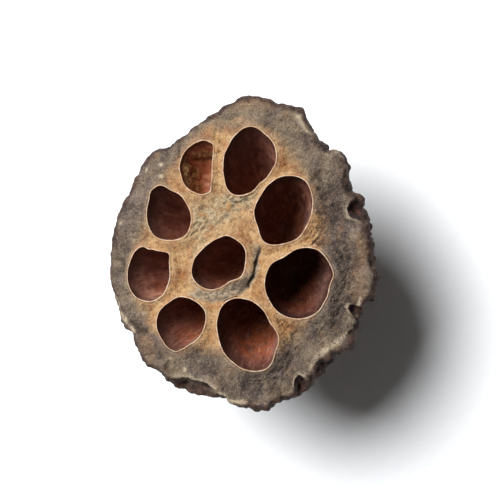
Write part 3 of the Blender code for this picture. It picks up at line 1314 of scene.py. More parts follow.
    def wall_height(self) -> Array:
        """Wrinkles inside the cells: faint rings, folds down the wall and a crumpled remnant.

        Returns:
            The height at every point, in millimetres.
        """
        high = Heights()
        turn = np.radians(self.around)
        apart = 40 * self.cell
        rings = Grain.WALL_RING.on(wrapped(turn, 3.0, 2.6 * self.outside + apart))
        folds = Grain.WALL_FOLD.on(wrapped(turn, 5.0, 0.35 * self.outside + apart))
        walls = high.wall_ring * rings + high.wall_fold * folds
        walls = ease(0.0, 0.12, self.depth) * ease(0.98, 0.8, self.depth) * walls
        walls += high.bottom * ease(0.5, 0.9, self.depth) * Grain.BOTTOM.on(self.points)
        crumpled = high.remnant + high.remnant_fold * Grain.REMNANT.on(self.points)
        return walls + self.remnant() * crumpled

    def mottled(self) -> Array:
        """Where the face is pitted: a loose patch above the centre cell and the bark round it.

        Returns:
            A strength from 0 to 1.
        """
        patch = bell(line_distance(self.x, self.y, ((-11, 6.5), (-5, 8.6), (0.5, 12.0))), 3.8)
        lower = bell(line_distance(self.x, self.y, ((-9.5, -4.5), (-8.8, 2.0))), 1.6)
        return self.face * np.clip(patch + 0.6 * lower + self.bark(), 0, 1)

    def bark(self) -> Array:
        """The grey scaly crescent at the lower right of the centre cell, ragged at its edge.

        Returns:
            A strength from 0 to 1.
        """
        outside, degrees = SEED_CELLS[CELL_NUMBERS["centre"]].outside(self.x, self.y)
        ragged = Grain.BARK_EDGE.on(self.points)
        shown = ease(97, 62, angle_gap(degrees, 306) + 14 * ragged)
        past = (degrees - 306 + 180) % 360 - 180
        bare = ease(22, 48, past) * ease(2.3, 1.3, outside + 0.5 * ragged)
        return self.face * shown * (1 - 0.8 * bare) * ease(3.5, 2.5, outside + 0.7 * ragged)

    def dusk(self) -> Array:
        """The darkest part of the crescent, beside its crack.

        Returns:
            A strength from 0 to 1.
        """
        outside, degrees = SEED_CELLS[CELL_NUMBERS["centre"]].outside(self.x, self.y)
        ragged = Grain.DUSK_EDGE.on(self.points)
        shown = ease(36, 14, angle_gap(degrees, 322) + 9 * ragged)
        return shown * ease(3.1, 2.2, outside + 0.5 * ragged)

    def remnant(self) -> Array:
        """Where dry tissue clings to the small cell: its left wall and a fold across the top.

        Returns:
            A strength from 0 to 1.
        """
        left = ease(62, 30, angle_gap(self.around, 190)) * ease(0.10, 0.25, self.depth)
        fold = bell(line_distance(self.x, self.y, REMNANT_FOLD), 0.55)
        return self.small * np.clip(left * ease(0.95, 0.75, self.depth) + 0.8 * fold, 0, 1)

    def attributes(self) -> dict:
        """All fields that the finish reads, by name."""
        return {**self.face_fields(), **self.rim_fields(), **self.cell_fields()}

    def face_fields(self) -> dict:
        """Fields of the face, each from 0 to 1.

        Returns:
            warm: The tan zone round the cells.
            bark, dusk, mottle: The scaly crescent, its darkest part and the pitted patch.
            crack: Cracks and pits.
            streak, hatched: Grooves by the large cells, and where they lie.
            rise: From 0 in the creases to 1 on the bumps.
            margin: The grey margin and the side.
        """
        past = self.radius - closed_curve(WARM_OUTLINE, self.degrees)
        rise = np.where(self.length > 7.0, 0.9 * self.rib, self.knob)
        rise = 0.5 + 0.5 * np.where(self.side * (self.length > 1.0) > 0, rise, self.lump)
        side_margin = 0.6 + 0.4 * ease(9.0, 5.0, self.length)
        return {
            "warm": ease(2.3, -2.3, past + 1.7 * Grain.TAN_EDGE.on(self.points)) * (1 - self.side),
            "bark": self.bark(),
            "dusk": self.bark() * self.dusk(),
            "mottle": self.mottled(),
            "crack": np.clip(1.6 * self.crack + 0.6 * self.pits, 0, 1),
            "streak": np.clip(-1.6 * self.grooves, 0, 1),
            "hatched": self.hatched,
            "rise": np.clip(rise, 0, 1),
            "margin": self.outer * self.face + self.side * side_margin,
        }

    def rim_fields(self) -> dict:
        """Fields of rim, side and cut, each from 0 to 1.

        Returns:
            side: The side below the crest.
            rubbed: Pale edges and crumbs.
            tinted: More orange stretches of the crest.
            shaded: Painted shade in the hollows of the broken stretches.
            cut: The cut end.
        """
        below = self.length + 0.6 * Grain.SIDE_EDGE.on(self.points)
        edge = self.distance_from(RUBBED_EDGES) + 0.3 * Grain.RUBBED_EDGE.on(self.points)
        rubbed = bell(edge, 0.38) * self.top
        inward = self.head.ring_radius(self.degrees) - self.radius
        from_crest = np.where(self.side > 0, self.length, inward)
        broken = np.clip(RIM.set_back(self.degrees), 0, 1) * (self.side + self.face)
        rubbed = np.maximum(rubbed, 0.9 * broken * bell(from_crest - 0.15, 0.34))
        for x, y in CRUMBS:
            crumb = bell(np.hypot(self.x - x, self.y - y), 0.42)
            rubbed = np.maximum(rubbed, 1.2 * self.face * crumb)
        tinted = bell(self.distance_from(TINTED_CREST) + Grain.TINT_EDGE.on(self.points), 1.6)
        return {
            "side": self.side * ease(0.2, 1.2, below),
            "rubbed": np.clip(rubbed, 0, 1),
            "tinted": np.clip(tinted * (self.face + self.side), 0, 1),
            "shaded": np.clip(self.under_crest * RIM.shade(self.degrees), 0, 1),
            "cut": self.cut,
        }

    def cell_fields(self) -> dict:
        """Fields of the lips and the cells.

        Returns:
            lip, hollow: The lips and the cells, from 0 to 1.
            deep: From 0 at the lip to 1 at the bottom.
            tone, dim: How pale or how dark a cell is, partly its own colour and partly painted
            light and shade. The tone is also cut back on the upper-left wall as painted shade.
            sheen: A painted grey highlight on the right wall.
            ruddy: Red lower down and at the bottom.
            across, along, down: Place on the wall in metres, for streaks that run down it.
            small, remnant, fold: The small cell, the tissue in it and the shade of its fold.
        """
        tones = np.array([cell.tone for cell in SEED_CELLS])[self.cell.astype(int)]
        # Painted shade: the pale tone is cut back on the upper-left wall of each cell.
        shady_side = 1 - 0.6 * ease(80, 40, angle_gap(self.around, 128))
        # Painted highlight: a grey gleam on the right wall of each cell.
        gleam = ease(60, 18, angle_gap(self.around, 345)) * ease(0.03, 0.18, self.depth)
        ruddy = ease(85, 30, angle_gap(self.around, 275)) * ease(0.12, 0.45, self.depth)
        ruddy += ease(0.60, 0.95, self.depth)
        turn = np.radians(self.around)
        near = bell(self.nearest - 0.3, 0.5)
        lip = self.lip * ease(0.28, 0.18, self.outside) + 0.24 * self.face * near
        hollow = self.hollow + self.lip * (self.outside < 0.01) * 0.6
        return {
            "lip": np.clip(lip, 0, 1),
            "hollow": np.clip(hollow, 0, 1),
            "deep": self.depth * self.hollow,
            "tone": np.clip(tones, 0, 1) * self.hollow * shady_side,
            "dim": np.clip(-tones, 0, 1) * self.hollow,
            "sheen": gleam * ease(0.80, 0.45, self.depth) * self.hollow,
            "ruddy": np.clip(ruddy, 0, 1) * self.hollow,
            "across": 5 * MM * np.cos(turn),
            "along": 5 * MM * np.sin(turn),
            "down": MM * (40 * self.cell - 0.22 * self.outside * self.hollow),
            "small": self.small,
            "remnant": self.remnant(),
            # Painted shade under the fold of the tissue in the small cell.
            "fold": bell(line_distance(self.x, self.y, REMNANT_SHADE), 0.42) * self.small,
        }

    def distance_from(self, lines: tuple) -> Array:
        """Distance of every point from the nearest of the lines, seen from above."""
        return np.min([line_distance(self.x, self.y, line) for line in lines], axis=0)


# Outer edges of the large cells that are hatched: cell, first and last angle
STREAKED_EDGES = (("right", -75, 50), ("bottom", -100, 35), ("upper_right", -60, 50))
# The fold of the tissue in the small cell, and the shade under it
REMNANT_FOLD = ((-10.8, 20.9), (-6.6, 21.3))
REMNANT_SHADE = ((-11.0, 20.1), (-6.6, 20.3))
# Lines along which the rim's edge is rubbed pale: torn flap, upper lobes, broken crest, left
RUBBED_EDGES = (
    ((-12.8, -27.3), (-10.4, -27.9), (-7.2, -29.4), (-4.2, -30.1), (-3.0, -31.6), (0.5, -31.8)),
    (
        (12.3, 28.8), (13.8, 26.0), (16.5, 24.3), (18.9, 21.8), (21.5, 20.6), (23.0, 18.0),
        (23.8, 14.0),
    ),
    (
        (25.5, -9.5), (24.6, -12.4), (24.2, -15.0), (21.6, -18.0), (17.6, -21.0), (14.4, -24.6),
        (11.6, -28.2),
    ),
    ((-28.2, -9.5), (-27.2, -12.6), (-24.0, -16.6)),
)
# Places of pale crumbs on the margin
CRUMBS = (
    (-21.3, 17.8), (-17.6, 18.7), (-17.6, 16.3), (-27.1, 6.4), (-21.5, -12.9), (-15.8, -22.7),
    (-12.5, -24.8),
)
# Lines along which the crest is more orange
TINTED_CREST = (
    ((-1.5, 32.0), (2.5, 32.6), (6.5, 31.6)),
    ((26.4, 2.6), (26.0, -3.0), (25.0, -9.4)),
    ((-21.4, -18.6), (-20.4, -20.8)),
)
# Radius by angle inside which the face is tan
WARM_OUTLINE = {
    0: 17.5, 15: 18.5, 30: 19.6, 45: 21.0, 60: 22.5, 75: 25.5, 90: 27.0, 102: 26.6,
    118: 25.8, 133: 22.7, 150: 21.5, 165: 22.0, 175: 22.7, 190: 24.0, 206: 25.0,
    216: 25.0, 235: 23.5, 255: 21.3, 270: 22.5, 290: 21.5, 308: 20.5, 325: 19.0,
    340: 17.5,
}


# Shader maths


class Value:
    """A number in a shader, on which Python's operators add Math nodes."""

    def __init__(self, graph: "Graph", socket: bpy.types.NodeSocket) -> None:
        """Wraps an output socket of the graph."""
        self.graph = graph
        self.socket = socket

    def maths(self, operation: str, *terms: "Value | float") -> "Value":
        """A Math node of the operation on the terms."""
        node = self.graph.node("ShaderNodeMath", {"operation": operation}, dict(enumerate(terms)))
        return Value(self.graph, node.outputs[0])

    def __add__(self, other: "Value | float") -> "Value":
        """The sum."""
        return self.maths("ADD", self, other)

    def __rsub__(self, other: float) -> "Value":
        """The difference from a plain number."""
        return self.maths("SUBTRACT", other, self)

    def __mul__(self, other: "Value | float") -> "Value":
        """The product."""
        return self.maths("MULTIPLY", self, other)

    __radd__ = __add__

    def ease(self, low: float, high: float) -> "Value":
        """A smooth step between two bounds.

        Args:
            low: Where the step starts, at 0. It may be the larger one.
            high: Where it ends, at 1.

        Returns:
            The step.
        """
        bounds = {"From Min": min(low, high), "From Max": max(low, high)}
        settings = {"interpolation_type": "SMOOTHSTEP"}
        node = self.graph.node("ShaderNodeMapRange", settings, {"Value": self, **bounds})
        eased = Value(self.graph, node.outputs[0])
        return 1 - eased if low > high else eased

    def capped(self) -> "Value":
        """The number kept between 0 and 1."""
        return self.maths("MINIMUM", self.maths("MAXIMUM", self, 0.0), 1.0)


class Graph:
    """The node tree of a material or world, with one method for any node."""

    def __init__(self, owner: bpy.types.Material | bpy.types.World) -> None:
        """Empties the owner's tree.

        Args:
            owner: The material or world.
        """
        owner.use_nodes = True
        self.tree = owner.node_tree
        self.tree.nodes.clear()

    def node(self, kind: str, settings: dict | None = None,
             inputs: dict | None = None) -> bpy.types.Node:
        """Adds a node.

        Args:
            kind: The node's type.
            settings: Its properties, set first. "stops" gives a colour ramp's stops.
            inputs: Values, colours or links by the input's name or number.

        Returns:
            The node.
        """
        made = self.tree.nodes.new(kind)
        for name, value in (settings or {}).items():
            if name == "stops":
                self.set_stops(made.color_ramp, value)
            else:
                setattr(made, name, value)
        for name, value in (inputs or {}).items():
            source = value.socket if isinstance(value, Value) else value
            if isinstance(source, bpy.types.NodeSocket):
                self.tree.links.new(source, made.inputs[name])
            else:
                made.inputs[name].default_value = source
        return made

    @staticmethod
    def set_stops(ramp: bpy.types.ColorRamp, stops: tuple) -> None:
        """Gives a ramp its stops.

        Args:
            ramp: The colour ramp.
            stops: A position and a colour, 0 to 255, for each.
        """
        while len(ramp.elements) < len(stops):
            ramp.elements.new(1.0)
        for element, (position, tint) in zip(ramp.elements, stops):
            element.position = position
            element.color = colour(*tint)

    def attribute(self, name: str) -> Value:
        """The mesh's point attribute of that name."""
        node = self.node("ShaderNodeAttribute", {"attribute_name": name})
        return Value(self, node.outputs["Fac"])

    def place(self, scale: tuple = (1, 1, 1)) -> bpy.types.NodeSocket:
        """The point in the object's own frame.

        Args:
            scale: A factor along each axis.

        Returns:
            The vector.
        """
        where = self.node("ShaderNodeTexCoord").outputs["Object"]
        if scale == (1, 1, 1):
            return where
        return self.node("ShaderNodeMapping", None, {"Vector": where, "Scale": scale}).outputs[0]

    def outward(self, kept: float) -> bpy.types.NodeSocket:
        """The point with its way out from the axis drawn together and its way round kept.

        Noise that is read there runs in streaks from the middle to the rim.

        Args:
            kept: Share of the way out that is kept.

        Returns:
            The vector.
        """
        maths = "ShaderNodeVectorMath"
        flat = self.place((1, 1, 0.0001))
        unit = self.node(maths, {"operation": "NORMALIZE"}, {0: flat}).outputs[0]
        turned = self.node(maths, {"operation": "SCALE"}, {0: unit, "Scale": 28 * MM}).outputs[0]
        drawn = self.place((kept, kept, kept))
        return self.node(maths, {"operation": "ADD"}, {0: turned, 1: drawn}).outputs[0]

    def slanted(self, degrees: float) -> bpy.types.NodeSocket:
        """The point in a frame turned about Z and drawn together along its first axis."""
        return self.node("ShaderNodeMapping", {"vector_type": "TEXTURE"}, {
            "Vector": self.place(), "Rotation": (0, 0, math.radians(degrees)),
            "Scale": (3.2, 0.8, 1.0)}).outputs[0]

    def down_wall(self) -> bpy.types.NodeSocket:
        """The place on a cell's wall, on which noise runs in streaks from the lip down."""
        parts = enumerate(("across", "along", "down"))
        inputs = {index: self.attribute(name) for index, name in parts}
        return self.node("ShaderNodeCombineXYZ", None, inputs).outputs[0]

    def noise(self, size: float, detail: float, roughness: float,
              distortion: float = 0.0, stretch: tuple = (1, 1, 1),
              place: bpy.types.NodeSocket | None = None) -> Value:
        """Noise between 0 and 1.

        Args:
            size: Size of its grains, in millimetres.
            detail: How many finer layers it has.
            roughness: How strong they are.
            distortion: How twisted it is.
            stretch: A factor on the place along each axis.
            place: Where it is read, if not in the object's own frame.

        Returns:
            The noise.
        """
        inputs = {"Vector": place or self.place(stretch), "Scale": 1 / (size * MM),
                  "Detail": detail, "Roughness": roughness, "Distortion": distortion}
        return Value(self, self.node("ShaderNodeTexNoise", None, inputs).outputs[0])

    def mix(self, factor: "Value | float", first: object, second: object,
            blend: str = "MIX") -> bpy.types.NodeSocket:
        """The first colour going over to the second.

        Args:
            factor: From 0 for the first to 1 for the second.
            first: A colour or a link.
            second: A colour or a link.
            blend: The Mix node's blend type.

        Returns:
            The mixed colour.
        """
        settings = {"data_type": "RGBA", "blend_type": blend}
        return self.node("ShaderNodeMix", settings, {0: factor, 6: first, 7: second}).outputs[2]

    def finish(self, kind: str, inputs: dict, output: str) -> None:
        """Ends the tree with a shader and its output.

        Args:
            kind: The shader node's type.
            inputs: Its inputs.
            output: The output node's type.
        """
        shader = self.node(kind, None, inputs)
        self.tree.links.new(shader.outputs[0], self.node(output).inputs[0])


def colour(red: int, green: int, blue: int) -> tuple:
    """A colour as seen on a screen as the light that a surface under the key light gives back.

    Each channel is c / 12.92 up to 0.04045 and ((c + 0.055) / 1.055)^2.4 above, over the
    factor by which a surface of the face looks brighter than its own colour.

    Args:
        red: From 0 to 255.
        green: The same.
        blue: The same.

    Returns:
        Red, green, blue and alpha.
    """
    parts = [part / 255 for part in (red, green, blue)]
    linear = [c / 12.92 if c <= 0.04045 else ((c + 0.055) / 1.055) ** 2.4 for c in parts]
    return (*(part / LIT for part in linear), 1.0)


# How much brighter than its own colour a surface of the face looks in the light
LIT = 1.45


# Finishes


@dataclass(frozen=True)
class Blotch:
    """Patches of another colour, where a noise passes from one bound to the other.

    Attributes:
        tint: Their colour, 0 to 255.
        strength: How much of it shows.
        bounds: Values of the noise at which the patch starts and is full.
        noise: Size of the noise in millimetres, detail, roughness, distortion and stretch.
        field: The attribute that they keep to, or none.
    """

    tint: tuple
    strength: float
    bounds: tuple
    noise: tuple
    field: str = ""

    def over(self, graph: Graph, base: bpy.types.NodeSocket) -> bpy.types.NodeSocket:
        """The base colour with the patches on it.

        Args:
            graph: The material's nodes.
            base: The colour under them.

        Returns:
            The colour.
        """
        shown = graph.noise(*self.noise).ease(*self.bounds)
        if self.field:
            shown = shown * graph.attribute(self.field)
        return graph.mix(shown * self.strength, base, colour(*self.tint))


@dataclass(frozen=True)
class Coat:
    """A colour that varies with noise, and blotches on it.

    Attributes:
        noise: Size of the noise in millimetres, detail, roughness, distortion and stretch.
        stops: Values of the noise, each with its colour, 0 to 255.
        blotches: What lies over it.
    """

    noise: tuple
    stops: tuple
    blotches: tuple = ()

    def on(self, graph: Graph) -> bpy.types.NodeSocket:
        """The coat's colour.

        Args:
            graph: The material's nodes.

        Returns:
            The colour.
        """
        inputs = {"Fac": graph.noise(*self.noise)}
        base = graph.node("ShaderNodeValToRGB", {"stops": self.stops}, inputs).outputs["Color"]
        for blotch in self.blotches:
            base = blotch.over(graph, base)
        return base


# Mottled grey-brown of the outer face, with mauve, rusty and pale patches
RIM_COAT = Coat(
    (7.5, 3, 0.55),
    ((0.34, (80, 64, 57)), (0.46, (108, 92, 79)), (0.56, (142, 124, 100)), (0.68, (106, 82, 64))),
    (
        Blotch((102, 88, 92), 0.5, (0.50, 0.62), (3.6, 4, 0.6, 0.4)),
        Blotch((144, 108, 80), 0.6, (0.56, 0.70), (2.7, 4, 0.6, 0.3, (1.1, 0.9, 1))),
        Blotch((80, 68, 64), 0.55, (0.50, 0.37), (4.6, 4, 0.6, 0.5)),
        Blotch((170, 152, 130), 0.35, (0.52, 0.70), (1.25, 5, 0.68)),
    ),
)
# Tan between the cells, orange-brown in places and sandy in others
TAN_COAT = Coat(
    (3.4, 4, 0.6),
    (
        (0.34, (170, 112, 62)), (0.47, (194, 142, 88)), (0.60, (214, 172, 118)),
        (0.72, (188, 128, 74)),
    ),
    (
        Blotch((132, 86, 48), 0.65, (0.50, 0.37), (1.5, 5, 0.7, 0.3)),
        Blotch((232, 200, 156), 0.45, (0.53, 0.68), (0.8, 4, 0.65)),
    ),
)
# Greenish grey scales of the pitted patch
SCALY_COAT = Coat(
    (1.1, 5, 0.7),
    (
        (0.30, (136, 118, 90)), (0.45, (190, 170, 134)), (0.60, (228, 209, 170)),
        (0.74, (206, 172, 126)),
    ),
    (Blotch((88, 74, 50), 0.7, (0.46, 0.34), (0.5, 3, 0.6, 0, (0.8, 1.2, 1))),),
)
# Mauve-grey scales of the crescent, and the dark specks on them
BARK_COAT = Coat(
    (1.2, 5, 0.7),
    (
        (0.32, (120, 102, 84)), (0.46, (168, 146, 122)), (0.60, (212, 190, 160)),
        (0.74, (192, 160, 126)),
    ),
)
BARK_SPECKS = Blotch((74, 58, 48), 0.7, (0.46, 0.34), (0.5, 3, 0.6, 0, (0.8, 1.2, 1)))
# Dark brown cone with rubbed, paler ridges
SIDE_COAT = Coat(
    (2.4, 5, 0.65, 0.2, (1, 1, 0.28)),
    ((0.32, (42, 26, 23)), (0.48, (66, 43, 36)), (0.62, (96, 69, 56)), (0.76, (84, 52, 39))),
    (Blotch((150, 122, 96), 0.3, (0.54, 0.72), (0.9, 4, 0.7)),),
)
# Maroon parchment inside the cells, the paler one of some cells and the red of the small one.
# The paler walls and the bright red are partly their own colour and partly painted light.
WALL_COAT = Coat(
    (1.5, 4, 0.6, 0.3, (1, 1, 0.4)),
    ((0.30, (84, 44, 36)), (0.48, (112, 62, 50)), (0.66, (140, 88, 72))),
)
PALE_WALL_COAT = Coat(
    (2.6, 4, 0.6),
    ((0.36, (154, 98, 86)), (0.50, (196, 132, 112)), (0.64, (226, 168, 144))),
)
SMALL_WALL_COAT = Coat(
    (1.8, 4, 0.6, 0.4),
    ((0.34, (140, 78, 52)), (0.50, (196, 114, 76)), (0.66, (238, 172, 126))),
)
# Red and tan fibres low in the cells
RED_PATCHES = Blotch((176, 88, 48), 0.6, (0.34, 0.56), (2.2, 4, 0.6), "ruddy")
TAN_FIBRES = Blotch((228, 172, 120), 0.55, (0.54, 0.68), (0.45, 4, 0.7), "ruddy")
# Crumpled olive-tan tissue that clings to the wall of the small cell
REMNANT_COAT = Coat(
    (0.9, 4, 0.7, 0.3),
    ((0.36, (84, 54, 34)), (0.50, (170, 128, 80)), (0.64, (236, 202, 148))),
)


@dataclass(frozen=True)
class Flecks:
    """Flecks in the skin, read from three fine noises: bounds and strength in each.

    Attributes:
        grain: In the finest noise.
        crumb: In the next.
        fibre: In the streaks that run out to the rim, on the margin alone.
    """

    grain: tuple
    crumb: tuple
    fibre: tuple

    def shown(self, grain: Value, crumb: Value, fibre: Value, margin: Value) -> Value:
        """Where the flecks show.

        Args:
            grain: The finest noise.
            crumb: The next.
            fibre: The streaks.
            margin: Where the streaks show.

        Returns:
            A strength from 0 to 1.
        """
        small = grain.ease(*self.grain[:2]) * self.grain[2]
        large = crumb.ease(*self.crumb[:2]) * self.crumb[2]
        return (small + large + fibre.ease(*self.fibre[:2]) * margin * self.fibre[2]).capped()


PALE_FLECKS = Flecks((0.52, 0.66, 0.34), (0.56, 0.74, 0.3), (0.53, 0.68, 0.12))
DARK_FLECKS = Flecks((0.49, 0.35, 0.52), (0.45, 0.30, 0.50), (0.47, 0.34, 0.18))


@dataclass(frozen=True)
class DriedSkin:
    """The pod's dull, wrinkled skin: grey rim, tan between the cells, maroon inside them.

    Attributes:
        roughness: Of the face and side.
        wall_roughness: Of the smooth parchment inside the cells.
        specular: Strength of its reflections.
        relief: Height of the finest relief of the face, in millimetres.
        wall_relief: Height of the fine lines inside the cells, in millimetres.
        shade: Colour by which specks and strokes darken the skin, and by which painted shade
        darkens the creases.
    """

    roughness: float = 0.80
    wall_roughness: float = 0.38
    specular: float = 0.35
    relief: float = 0.34
    wall_relief: float = 0.10
    shade: tuple = (96, 78, 66)

    def wall(self, graph: Graph) -> bpy.types.NodeSocket:
        """Maroon parchment inside the cells, redder and streaked towards the bottom.

        Args:
            graph: The material's nodes.

        Returns:
            The colour.
        """
        streaks = graph.noise(0.75, 5, 0.65, 0.5, place=graph.down_wall())
        base = WALL_COAT.on(graph)
        # Paler walls in some cells, partly their own colour and partly painted light.
        base = graph.mix(graph.attribute("tone") * 0.85, base, PALE_WALL_COAT.on(graph))
        base = RED_PATCHES.over(graph, base)
        # Painted highlight: a grey gleam on the right wall.
        base = graph.mix(graph.attribute("sheen") * 0.34, base, colour(150, 126, 122))
        base = graph.mix(streaks.ease(0.47, 0.34) * 0.65, base, colour(84, 46, 40))
        base = graph.mix(streaks.ease(0.54, 0.66) * 0.42, base, colour(214, 160, 132))
        base = TAN_FIBRES.over(graph, base)
        # The small cell's brighter red is partly its own colour and partly painted light.
        base = graph.mix(graph.attribute("small") * 0.75, base, SMALL_WALL_COAT.on(graph))
        # Painted shade under the fold of the tissue in the small cell.
        base = graph.mix(graph.attribute("fold") * 0.9, base, colour(48, 30, 24))
        # Darker walls in the right cell, partly their own colour and partly painted shade.
        base = graph.mix(graph.attribute("dim"), base, colour(66, 40, 34))
        # Painted shade: the wall is darker just under the lip.
        shade_under_lip = graph.attribute("deep").ease(0.36, 0.02)
        return graph.mix(shade_under_lip * 0.6, base, colour(66, 46, 42))

    def bark(self, graph: Graph) -> bpy.types.NodeSocket:
        """Scales of the crescent, darker beside its crack."""
        dusky = graph.attribute("dusk") * 0.75
        return BARK_SPECKS.over(graph, graph.mix(dusky, BARK_COAT.on(graph), colour(92, 76, 68)))

    def lip(self, graph: Graph) -> bpy.types.NodeSocket:
        """Pale parchment of the lips."""
        patches = graph.noise(1.6, 3, 0.6).ease(0.40, 0.64)
        return graph.mix(patches, colour(222, 180, 146), colour(252, 226, 198))

    def pith(self, graph: Graph) -> bpy.types.NodeSocket:
        """Pale pith of the cut end."""
        patches = graph.noise(0.8, 4, 0.7).ease(0.40, 0.62)
        return graph.mix(patches, colour(128, 98, 68), colour(190, 156, 116))

    def material(self) -> bpy.types.Material:
        """The finished material, its layers from the ground up.

        Returns:
            The material.
        """
        made = bpy.data.materials.new("dried_skin")
        graph = Graph(made)
        fields = {name: graph.attribute(name) for name in (
            "warm", "bark", "mottle", "lip", "hollow", "side", "crack", "remnant", "cut",
            "streak", "hatched", "rise", "margin", "rubbed", "tinted", "shaded",
        )}
        margin, side, hollow = fields["margin"], fields["side"], fields["hollow"]
        fibre = graph.noise(0.8, 4, 0.65, 0.9, place=graph.outward(0.45))
        grain = graph.noise(0.34, 3, 0.75)
        crumb = graph.noise(1.0, 5, 0.7, 0.2)

        skin = graph.mix(fields["warm"], RIM_COAT.on(graph), TAN_COAT.on(graph))
        skin = graph.mix(fields["tinted"] * 0.4, skin, colour(178, 136, 96))
        patchy = fields["mottle"] * graph.noise(1.8, 4, 0.65).ease(0.34, 0.54)
        skin = graph.mix(patchy * 0.85, skin, SCALY_COAT.on(graph))
        skin = graph.mix(fields["bark"] * 0.95, skin, self.bark(graph))
        skin = graph.mix(side, skin, SIDE_COAT.on(graph))
        # Painted highlight: the tops of the margin's bumps are paler.
        bumps = fields["rise"].ease(0.55, 0.95) * margin * (1 - side)
        skin = graph.mix(bumps * 0.30, skin, colour(160, 142, 122))
        rubbed = fields["rubbed"] * crumb.ease(0.32, 0.50)
        skin = graph.mix(rubbed * 0.9, skin, colour(222, 202, 172))
        dust = PALE_FLECKS.shown(grain, crumb, fibre, margin) * (1 - side * 0.6)
        skin = graph.mix(dust, skin, colour(206, 182, 152))

        strokes = graph.noise(0.55, 3, 0.6, 0.4, place=graph.slanted(55)).ease(0.48, 0.38)
        for darkened in (
            # Painted shade in the creases of the margin.
            fields["rise"].ease(0.36, 0.08) * margin * 0.75,
            DARK_FLECKS.shown(grain, crumb, fibre, margin),
            fields["streak"] * 0.8,
            strokes * fields["hatched"] * 0.75,
        ):
            skin = graph.mix(darkened, skin, colour(*self.shade), "MULTIPLY")
        skin = graph.mix(fields["crack"] * 0.9, skin, colour(54, 42, 28))
        # Painted shade in the hollows under the broken crest, dark and crumbly.
        hollow_shade = graph.mix(crumb.ease(0.46, 0.60), colour(32, 19, 17), colour(86, 46, 37))
        skin = graph.mix(fields["shaded"] * 0.9, skin, hollow_shade)
        skin = graph.mix((fields["lip"] * 1.15).capped(), skin, self.lip(graph))
        skin = graph.mix(hollow, skin, self.wall(graph))
        skin = graph.mix((fields["remnant"] * 1.3).capped(), skin, REMNANT_COAT.on(graph))
        skin = graph.mix(fields["cut"], skin, self.pith(graph))

        open_skin = 1 - hollow
        lines = graph.noise(0.5, 3, 0.6, 0.4, place=graph.down_wall())
        lift = open_skin * (grain * 0.4 + crumb + margin * fibre * 0.3)
        lift = lift + hollow * lines * (self.wall_relief / self.relief)
        bump = graph.node("ShaderNodeBump", None, {
            "Height": lift, "Distance": self.relief * MM, "Strength": 1.0})
        graph.finish("ShaderNodeBsdfPrincipled", {
            "Base Color": skin, "Normal": bump.outputs[0], "Specular IOR Level": self.specular,
            "Roughness": open_skin * self.roughness + hollow * self.wall_roughness,
        }, "ShaderNodeOutputMaterial")
        return made


# Objects in the scene


def linked(name: str, data: bpy.types.ID) -> bpy.types.Object:
    """A new object in the scene.

    Args:
        name: Its name.
        data: Its mesh, camera or light.

    Returns:
        The object.
    """
    made = bpy.data.objects.new(name, data)
    bpy.context.scene.collection.objects.link(made)
    return made


@dataclass(frozen=True)
class PaleFloor:
    """A plain white floor with the faintest grain.

    Attributes:
        half_side: Half the floor's side, in metres.
        shade: Its colour.
        grain_shade: The colour of its grain.
    """

    half_side: float = 2.0
    shade: tuple = (0.90, 0.92, 0.94, 1.0)
    grain_shade: tuple = (0.84, 0.87, 0.90, 1.0)

    def material(self) -> bpy.types.Material:
        """The floor's matt material.

        Returns:
            The material.
        """
        made = bpy.data.materials.new("pale_floor")
        graph = Graph(made)
        grain = graph.noise(1.6, 4, 0.6).ease(0.35, 0.65)
        graph.finish("ShaderNodeBsdfPrincipled", {
            "Base Color": graph.mix(grain * 0.25, self.shade, self.grain_shade),
            "Roughness": 0.9, "Specular IOR Level": 0.1,
        }, "ShaderNodeOutputMaterial")
        return made

    def build(self) -> bpy.types.Object:
        """The floor, which isn't part of the object.

        Returns:
            A square round the origin.
        """
        side = self.half_side
        mesh = bpy.data.meshes.new("floor")
        corners = [(-side, -side, 0), (side, -side, 0), (side, side, 0), (-side, side, 0)]
        mesh.from_pydata(corners, [], [(0, 1, 2, 3)])
        mesh.materials.append(self.material())
        return linked("floor", mesh)


# Camera and light


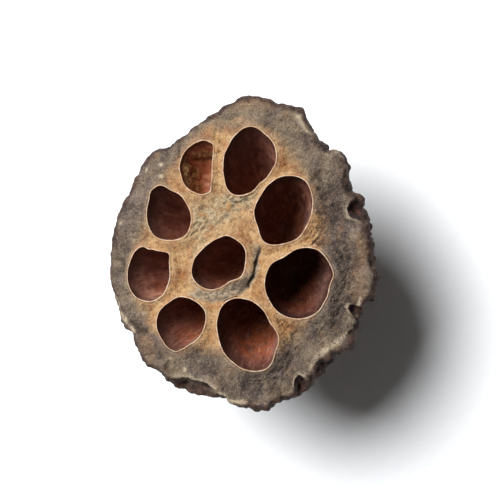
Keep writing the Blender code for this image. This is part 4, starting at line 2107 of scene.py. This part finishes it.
@dataclass(frozen=True)
class Studio:
    """The camera above the pod and the soft light from the upper left.

    Attributes:
        tilt: Lean of the camera from the vertical towards +X, in degrees.
        distance: From the camera to the middle of the face, in metres.
        target: The point on the axis that the camera looks at, in metres.
        half_frame: Half the frame's width at that point, in metres.
        shift: How far the frame is shifted, as a share of its width.
        key_direction: Where the key light stands, seen from the pod.
        key_spread: Angle across the key light, in degrees.
        key_strength: Of the key light, in watts a square metre.
        sky: Strength of the even light from all sides.
        sky_colour: Its colour.
        backdrop: Brightness of what shows past the floor.
    """

    tilt: float = 15.0
    distance: float = 0.6
    target: tuple = (0.0, 0.0, 0.033)
    half_frame: float = 0.053
    shift: tuple = (7.8 / 500, 3 / 500)
    key_direction: tuple = (-0.57, 0.54, 1.0)
    key_spread: float = 46.0
    key_strength: float = 6.1
    sky: float = 0.08
    sky_colour: tuple = (1.0, 0.95, 0.91, 1.0)
    backdrop: float = 0.9

    def build(self) -> None:
        """Makes the camera, the key light and the sky."""
        self.add_camera()
        self.add_key()
        self.add_sky()
        bpy.context.scene.view_settings.view_transform = "Standard"

    def add_camera(self) -> None:
        """Adds the camera, looking down at the pod with +Y up in its frame."""
        lean = math.radians(self.tilt)
        back = Vector((math.sin(lean), 0, math.cos(lean)))
        right = Vector((math.cos(lean), 0, -math.sin(lean)))
        turned = Matrix((right, Vector((0, 1, 0)), back)).transposed().to_4x4()
        lens = bpy.data.cameras.new("camera")
        lens.angle = 2 * math.atan(self.half_frame / self.distance)
        lens.shift_x, lens.shift_y = self.shift
        lens.clip_start = 0.01
        camera = linked("camera", lens)
        place = Vector(self.target) + back * self.distance
        camera.matrix_world = Matrix.Translation(place) @ turned
        bpy.context.scene.camera = camera

    def add_key(self) -> None:
        """Adds the wide sun."""
        lamp = bpy.data.lights.new("key", "SUN")
        lamp.angle = math.radians(self.key_spread)
        lamp.energy = self.key_strength
        key = linked("key", lamp)
        direction = Vector(self.key_direction).normalized()
        key.rotation_mode = "QUATERNION"
        key.rotation_quaternion = direction.to_track_quat("Z", "Y")

    def add_sky(self) -> None:
        """Adds an even, dim sky that the camera sees as a bright backdrop."""
        world = bpy.data.worlds.new("sky")
        graph = Graph(world)
        seen = Value(graph, graph.node("ShaderNodeLightPath").outputs["Is Camera Ray"])
        strength = self.sky + seen * (self.backdrop - self.sky)
        inputs = {"Color": self.sky_colour, "Strength": strength}
        graph.finish("ShaderNodeBackground", inputs, "ShaderNodeOutputWorld")
        bpy.context.scene.world = world


def main() -> None:
    """Builds the pod around the frame, dresses it, and sets floor, camera and light."""
    logging.basicConfig(level=logging.INFO, format="%(message)s")
    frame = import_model()

    mesh = SeedHead().build()
    mesh.materials.append(DriedSkin().material())
    head = linked("seed_head", mesh)
    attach(head, next(iter(frame["bodies"])))
    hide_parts(*frame["nodes"])
    mesh.calc_loop_triangles()
    LOG.info("seed_head: %d points, %d triangles", len(mesh.vertices), len(mesh.loop_triangles))

    floor = PaleFloor().build()
    Studio().build()
    LOG.info("floor, camera and light")


if __name__ == "__main__":
    main()
